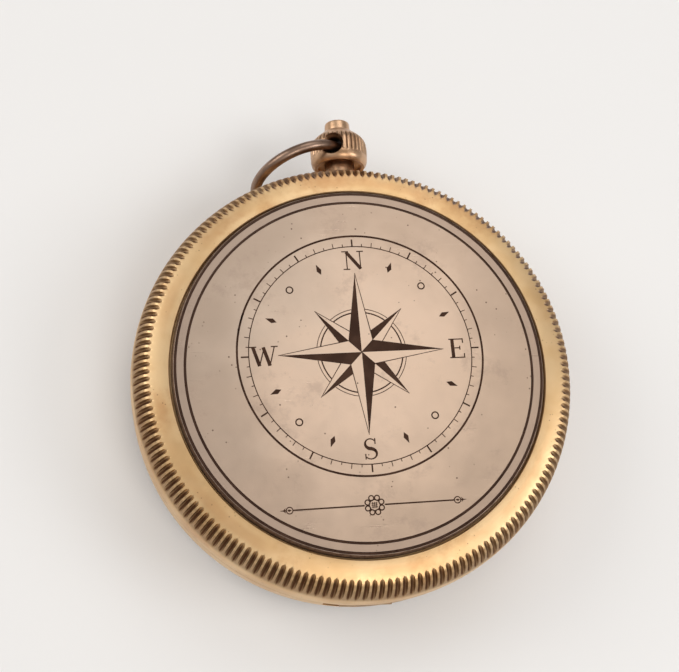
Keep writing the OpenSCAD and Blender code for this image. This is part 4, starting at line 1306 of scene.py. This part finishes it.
# %% Lining, degree ring and glass ring
lining_r = lining_high[0]
lathe("lid_lining", [
    [0, lining_low[2]], [lining_r - 1.6, lining_low[2]], [lining_r - 1.2, lining_low[2] + 0.12],
    [lining_r - 0.5, lining_low[2] + 0.05], [lining_r, lining_low[2] + 0.15], [lining_r, lining_high[2]],
    [0, lining_high[2]]], polished)
chapter_low, chapter_high = span("chapter_ring")
CHAPTER_W, CHAPTER_TOP_W, CHAPTER_FOOT_H = 3.4, 1.4, 1.3
chapter_r = chapter_high[0]
chapter_in_r = chapter_r - CHAPTER_W
cone_z = chapter_low[2] + CHAPTER_FOOT_H
cone_top_r = chapter_r - CHAPTER_TOP_W
lathe("chapter_ring", [
    [chapter_in_r, chapter_low[2]], [chapter_r, chapter_low[2]], [chapter_r, chapter_high[2]],
    [cone_top_r, chapter_high[2]], [chapter_in_r, cone_z]], black_enamel, radius=0.1)
hoop_low, hoop_high = span("glass_ring")
lathe("glass_ring", [
    [cone_top_r, hoop_low[2]], [chapter_r, hoop_low[2]], [chapter_r, hoop_high[2]],
    [chapter_r - 0.7, hoop_high[2]], [cone_top_r, (hoop_low[2] + hoop_high[2]) / 2]], polished, radius=0.1)
frame["nodes"]["glass"].data.materials.clear()
frame["nodes"]["glass"].data.materials.append(glass_finish)

# %% Numbers for the degree ring
def arc(x, y, rx, ry, start, end, steps=14):
    """Points along part of an ellipse, from one angle to another."""
    angle = np.radians(np.linspace(start, end, steps))
    return np.stack([x + rx * np.cos(angle), y + ry * np.sin(angle)], -1)


SIX = np.vstack([arc(0.22, 0.30, 0.50, 0.65, 97, 175, 10), arc(0, 0.30, 0.27, 0.28, 180, 540, 22)])
DIGITS = {
    "0": [arc(0, 0.5, 0.26, 0.46, 90, 450, 28)],
    "1": [[(-0.14, 0.78), (0.05, 0.95), (0.05, 0.03)]],
    "2": [np.vstack([arc(0, 0.69, 0.26, 0.27, 165, -35), [(-0.28, 0.04), (0.30, 0.04)]])],
    "3": [np.vstack([arc(-0.02, 0.73, 0.24, 0.23, 150, -80), arc(-0.02, 0.27, 0.29, 0.26, 80, -150)])],
    "4": [[(0.12, 0.03), (0.12, 0.95), (-0.30, 0.28), (0.30, 0.28)]],
    "5": [np.vstack([[(0.24, 0.95), (-0.17, 0.95), (-0.21, 0.54)], arc(-0.01, 0.31, 0.29, 0.29, 120, -150)])],
    "6": [SIX],
    "7": [[(-0.27, 0.95), (0.28, 0.95), (-0.04, 0.03)]],
    "8": [arc(0, 0.73, 0.21, 0.22, -90, 270, 20), arc(0, 0.26, 0.27, 0.25, 90, 450, 22)],
    "9": [np.array([0, 1]) - SIX],
}


def number(value, height, radius):
    """A number as polygons, its middle at a radius and its top outwards, turned clockwise to its bearing."""
    text = str(value)
    figures = []
    for k, digit in enumerate(text):
        middle = np.array([(k - (len(text) - 1) / 2) * 0.78, -0.5])
        for path in DIGITS[digit]:
            figures += curve_strokes((np.asarray(path, float) + middle) * height + [0, radius], 0.13 * height)
    return turned_by(figures, -value)


# %% Dial and degree ring markings
NORTH_R = 19.7


def dial_figures():
    """The dial's rose of sixteen leaves, its rings, a tick each 2 degrees and the names of seven winds."""
    chief, half_wind = (15.6, 2.9), (12.4, 2.6)
    figures = rose(*chief, *half_wind, 8.6, 2.2)
    figures += broken_circle(9.6, 0.16, [chief, (*half_wind, 45.0)])
    for radius, width in ((16.6, 0.12), (17.1, 0.22), (22.3, 0.28), (24.9, 0.14)):
        figures += circle_strokes((0, 0), radius, width, 144)
    figures += ticks(22.4, 180, ((15, 2.5, 0.2), (5, 1.7, 0.2), (1, 1.0, 0.11)))
    for turn, wind in ((-90, "E"), (180, "S"), (90, "W")):
        figures += turned_by([q + [0, NORTH_R] for q in letter(wind, 3.2)], turn)
    for turn, winds in ((-45, "NE"), (-135, "SE"), (135, "SW"), (45, "NW")):
        pair = [q + [side * 1.0, 19.6] for side, wind in zip((-1, 1), winds) for q in letter(wind, 1.8)]
        figures += turned_by(pair, turn)
    return figures


def ring_figures():
    """Ticks each 5 degrees and a number each 30, drawn flat; they are laid on the slope afterwards."""
    figures = ticks(chapter_in_r + 0.35, 72, ((2, 1.2, 0.2), (1, 0.7, 0.2)))
    for value in range(0, 360, 30):
        figures += number(value, 2.0, chapter_in_r + 3.0)
    return figures


def on_cone(points):
    """Lays flat points on the ring's slope: the way out from its foot becomes the way up the slope."""
    x, y, up = points.T
    slope = np.array([cone_top_r - chapter_in_r, chapter_high[2] - cone_z])
    slope /= np.linalg.norm(slope)
    flat_r = np.hypot(x, y)
    out = flat_r - chapter_in_r
    radius = chapter_in_r + out * slope[0] - up * slope[1]
    return np.stack([x / flat_r * radius, y / flat_r * radius, cone_z + out * slope[1] + up * slope[0]], -1)


def dial_height(r):
    """Height of the dial, the same at every radius."""
    return np.full_like(r, span("dial_card")[1][2])


north = [q + [0, NORTH_R] for q in letter("N", 3.6)]
lay_figures("dial_markings", dial_figures(), print_ink, "dial_card", dial_height, 0.015, 0.04)
lay_figures("dial_north", north, red_ink, "dial_card", dial_height, 0.015, 0.04)
lay_figures("degree_markings", ring_figures(), pale_ink, "chapter_ring", np.zeros_like, 0.02, 0.04, on_cone)
print("degree ring slope from", (chapter_in_r, cone_z), "to", (cone_top_r, chapter_high[2]))

# %% [markdown]
# ### The needle
#
# A needle is filed from thin steel, so each arm has a ridge along its middle. The north arm is a barbed
# spear, blued over a flame, and the south arm is left bright with a small lozenge near its end. Both meet
# in a hub round the cap.

# %% Needle
NORTH_ARM = [(2.2, 1.86), (8.0, 1.38), (13.75, 0.93), (13.8, 2.9), (18.4, 1.46), (23.0, 0.0)]
SOUTH_ARM = [(-2.2, 1.86), (-9.0, 1.38), (-16.1, 0.93), (-18.4, 1.86), (-20.7, 0.93), (-22.05, 0.0)]
needle_low, needle_high = span("needle")


def needle_arm(name, stations, finish):
    """Half width and height over a grid: across the arm the section is flat below and ridged above."""
    y, half = np.array(stations).T
    fine = np.unique(np.concatenate([y, np.linspace(y.min(), y.max(), 24)]))
    half = np.interp(fine, y[np.argsort(y)], half[np.argsort(y)])[:, None]
    across_share = np.array([-1, -1, -0.5, 0, 0.5, 1, 1, 0])
    up_share = np.array([0, 0.45, 0.75, 1, 0.75, 0.45, 0, 0])
    sides = len(across_share)
    rise = up_share * np.clip(half / 0.6, 0.3, 1)
    height = needle_low[2] + (needle_high[2] - needle_low[2]) * rise
    points = np.stack([half * across_share, np.repeat(fine[:, None], sides, 1), height], -1).reshape(-1, 3)
    add_piece(name, points, tube_faces(len(fine), sides), finish, "needle", sharp=18)


needle_arm("needle_north", NORTH_ARM, blued)
needle_arm("needle_south", SOUTH_ARM, steel)
hub = soften([[r, z] for r, z in ((2.14, needle_low[2]), (3.1, needle_low[2]), (3.1, needle_high[2]),
                                  (2.14, needle_high[2]))], 0.08)
add_piece("needle_hub", turn_outline(hub, 96), grid_quads(len(hub), 96), blued, "needle")
print("needle from", needle_low.round(2), "to", needle_high.round(2))

# %% [markdown]
# ## Floor, light and camera
#
# A pale floor and a pale studio. Polished metal shows what is round it, so the world has a gradient from a
# bright zenith to a darker horizon, and four soft boxes give the brass its long highlights. The camera
# itself sees a plain pale backdrop.

# %% Floor and world
FLOOR_HALF = 1.5


def make_floor():
    """A sheet of pale paper that fades into the backdrop, so no horizon shows."""
    mesh = bpy.data.meshes.new("floor")
    corners = [(x * FLOOR_HALF, y * FLOOR_HALF, 0) for x, y in ((-1, -1), (1, -1), (1, 1), (-1, 1))]
    mesh.from_pydata(corners, [], [(0, 1, 2, 3)])
    finish = Finish("floor_paper", metallic=0.0, roughness=0.7)
    finish.tone = finish.mix(finish.noise(0.01), (0.86, 0.855, 0.85), (0.88, 0.875, 0.87))
    finish.let_through(finish.step(finish.radius(), 0.12, 0.42))
    mesh.materials.append(finish.done())
    put("floor", mesh)


def make_world():
    """A studio that is bright above and darker at the horizon, behind a plain backdrop for the camera."""
    world = bpy.data.worlds.new("studio")
    bpy.context.scene.world = world
    world.use_nodes = True
    nodes = Nodes(world.node_tree)
    place = nodes.add("ShaderNodeTexCoord").outputs["Generated"]
    height = nodes.add("ShaderNodeSeparateXYZ", {0: place}).outputs["Z"]
    room = nodes.ramp(height, (0.0, (0.55, 0.52, 0.50)), (0.35, (0.50, 0.47, 0.45)),
                      (0.75, (0.92, 0.90, 0.88)), (1.0, (0.90, 0.885, 0.87)))
    seen = nodes.add("ShaderNodeLightPath").outputs["Is Camera Ray"]
    background = world.node_tree.nodes["Background"].inputs
    nodes.feed(background["Color"], nodes.mix(seen, room, (1.35, 1.33, 1.31)))
    nodes.feed(background["Strength"], 0.64)


def soft_box(name, place, size, power, tint=(1.0, 1.0, 1.0)):
    """A square lamp at a place in millimetres, aimed at the middle of the compass."""
    lamp = bpy.data.lights.new(name, "AREA")
    lamp.shape, lamp.size, lamp.energy, lamp.color = "SQUARE", size * MM, power, tint
    box = put(name, lamp)
    box.location = np.array(place) * MM
    aim = np.array([0, 0, 15.0]) - np.array(place)
    box.rotation_mode = "QUATERNION"
    box.rotation_quaternion = Vector(aim).to_track_quat("-Z", "Y")


make_floor()
make_world()
soft_box("window_left", (-520, 240, 420), 420, 1.35, (1.0, 0.985, 0.96))
soft_box("window_back", (160, 470, 560), 420, 0.75, (1.0, 0.99, 0.975))
soft_box("fill_right", (460, -120, 420), 260, 0.8)
soft_box("front_low", (130, -300, 560), 240, 0.75, (1.0, 0.97, 0.93))

# %% Camera at the photograph's viewing angle
CAMERA_PLACE = (-31.53, -45.98, 196.25)
CAMERA_RIGHT = (0.9881, -0.0570, 0.1432)
CAMERA_UP = (0.0139, 0.9583, 0.2855)
CAMERA_BACK = (-0.1535, -0.2801, 0.9476)
FOCAL_PIXELS = 1100.0
PHOTO_WIDTH = 679.0
SENSOR_WIDTH = 36.0


def make_camera():
    """A camera fitted to the photograph; its lens is sensor width times focal pixels over picture width."""
    data = bpy.data.cameras.new("camera")
    data.sensor_width = SENSOR_WIDTH
    data.sensor_fit = "HORIZONTAL"
    data.lens = SENSOR_WIDTH * FOCAL_PIXELS / PHOTO_WIDTH
    data.clip_start = 0.01
    camera = put("camera", data)
    turn = Matrix((CAMERA_RIGHT, CAMERA_UP, CAMERA_BACK)).transposed().to_4x4()
    turn.translation = np.array(CAMERA_PLACE) * MM
    camera.matrix_world = turn
    bpy.context.scene.camera = camera


make_camera()
bpy.context.scene.view_settings.view_transform = "Standard"
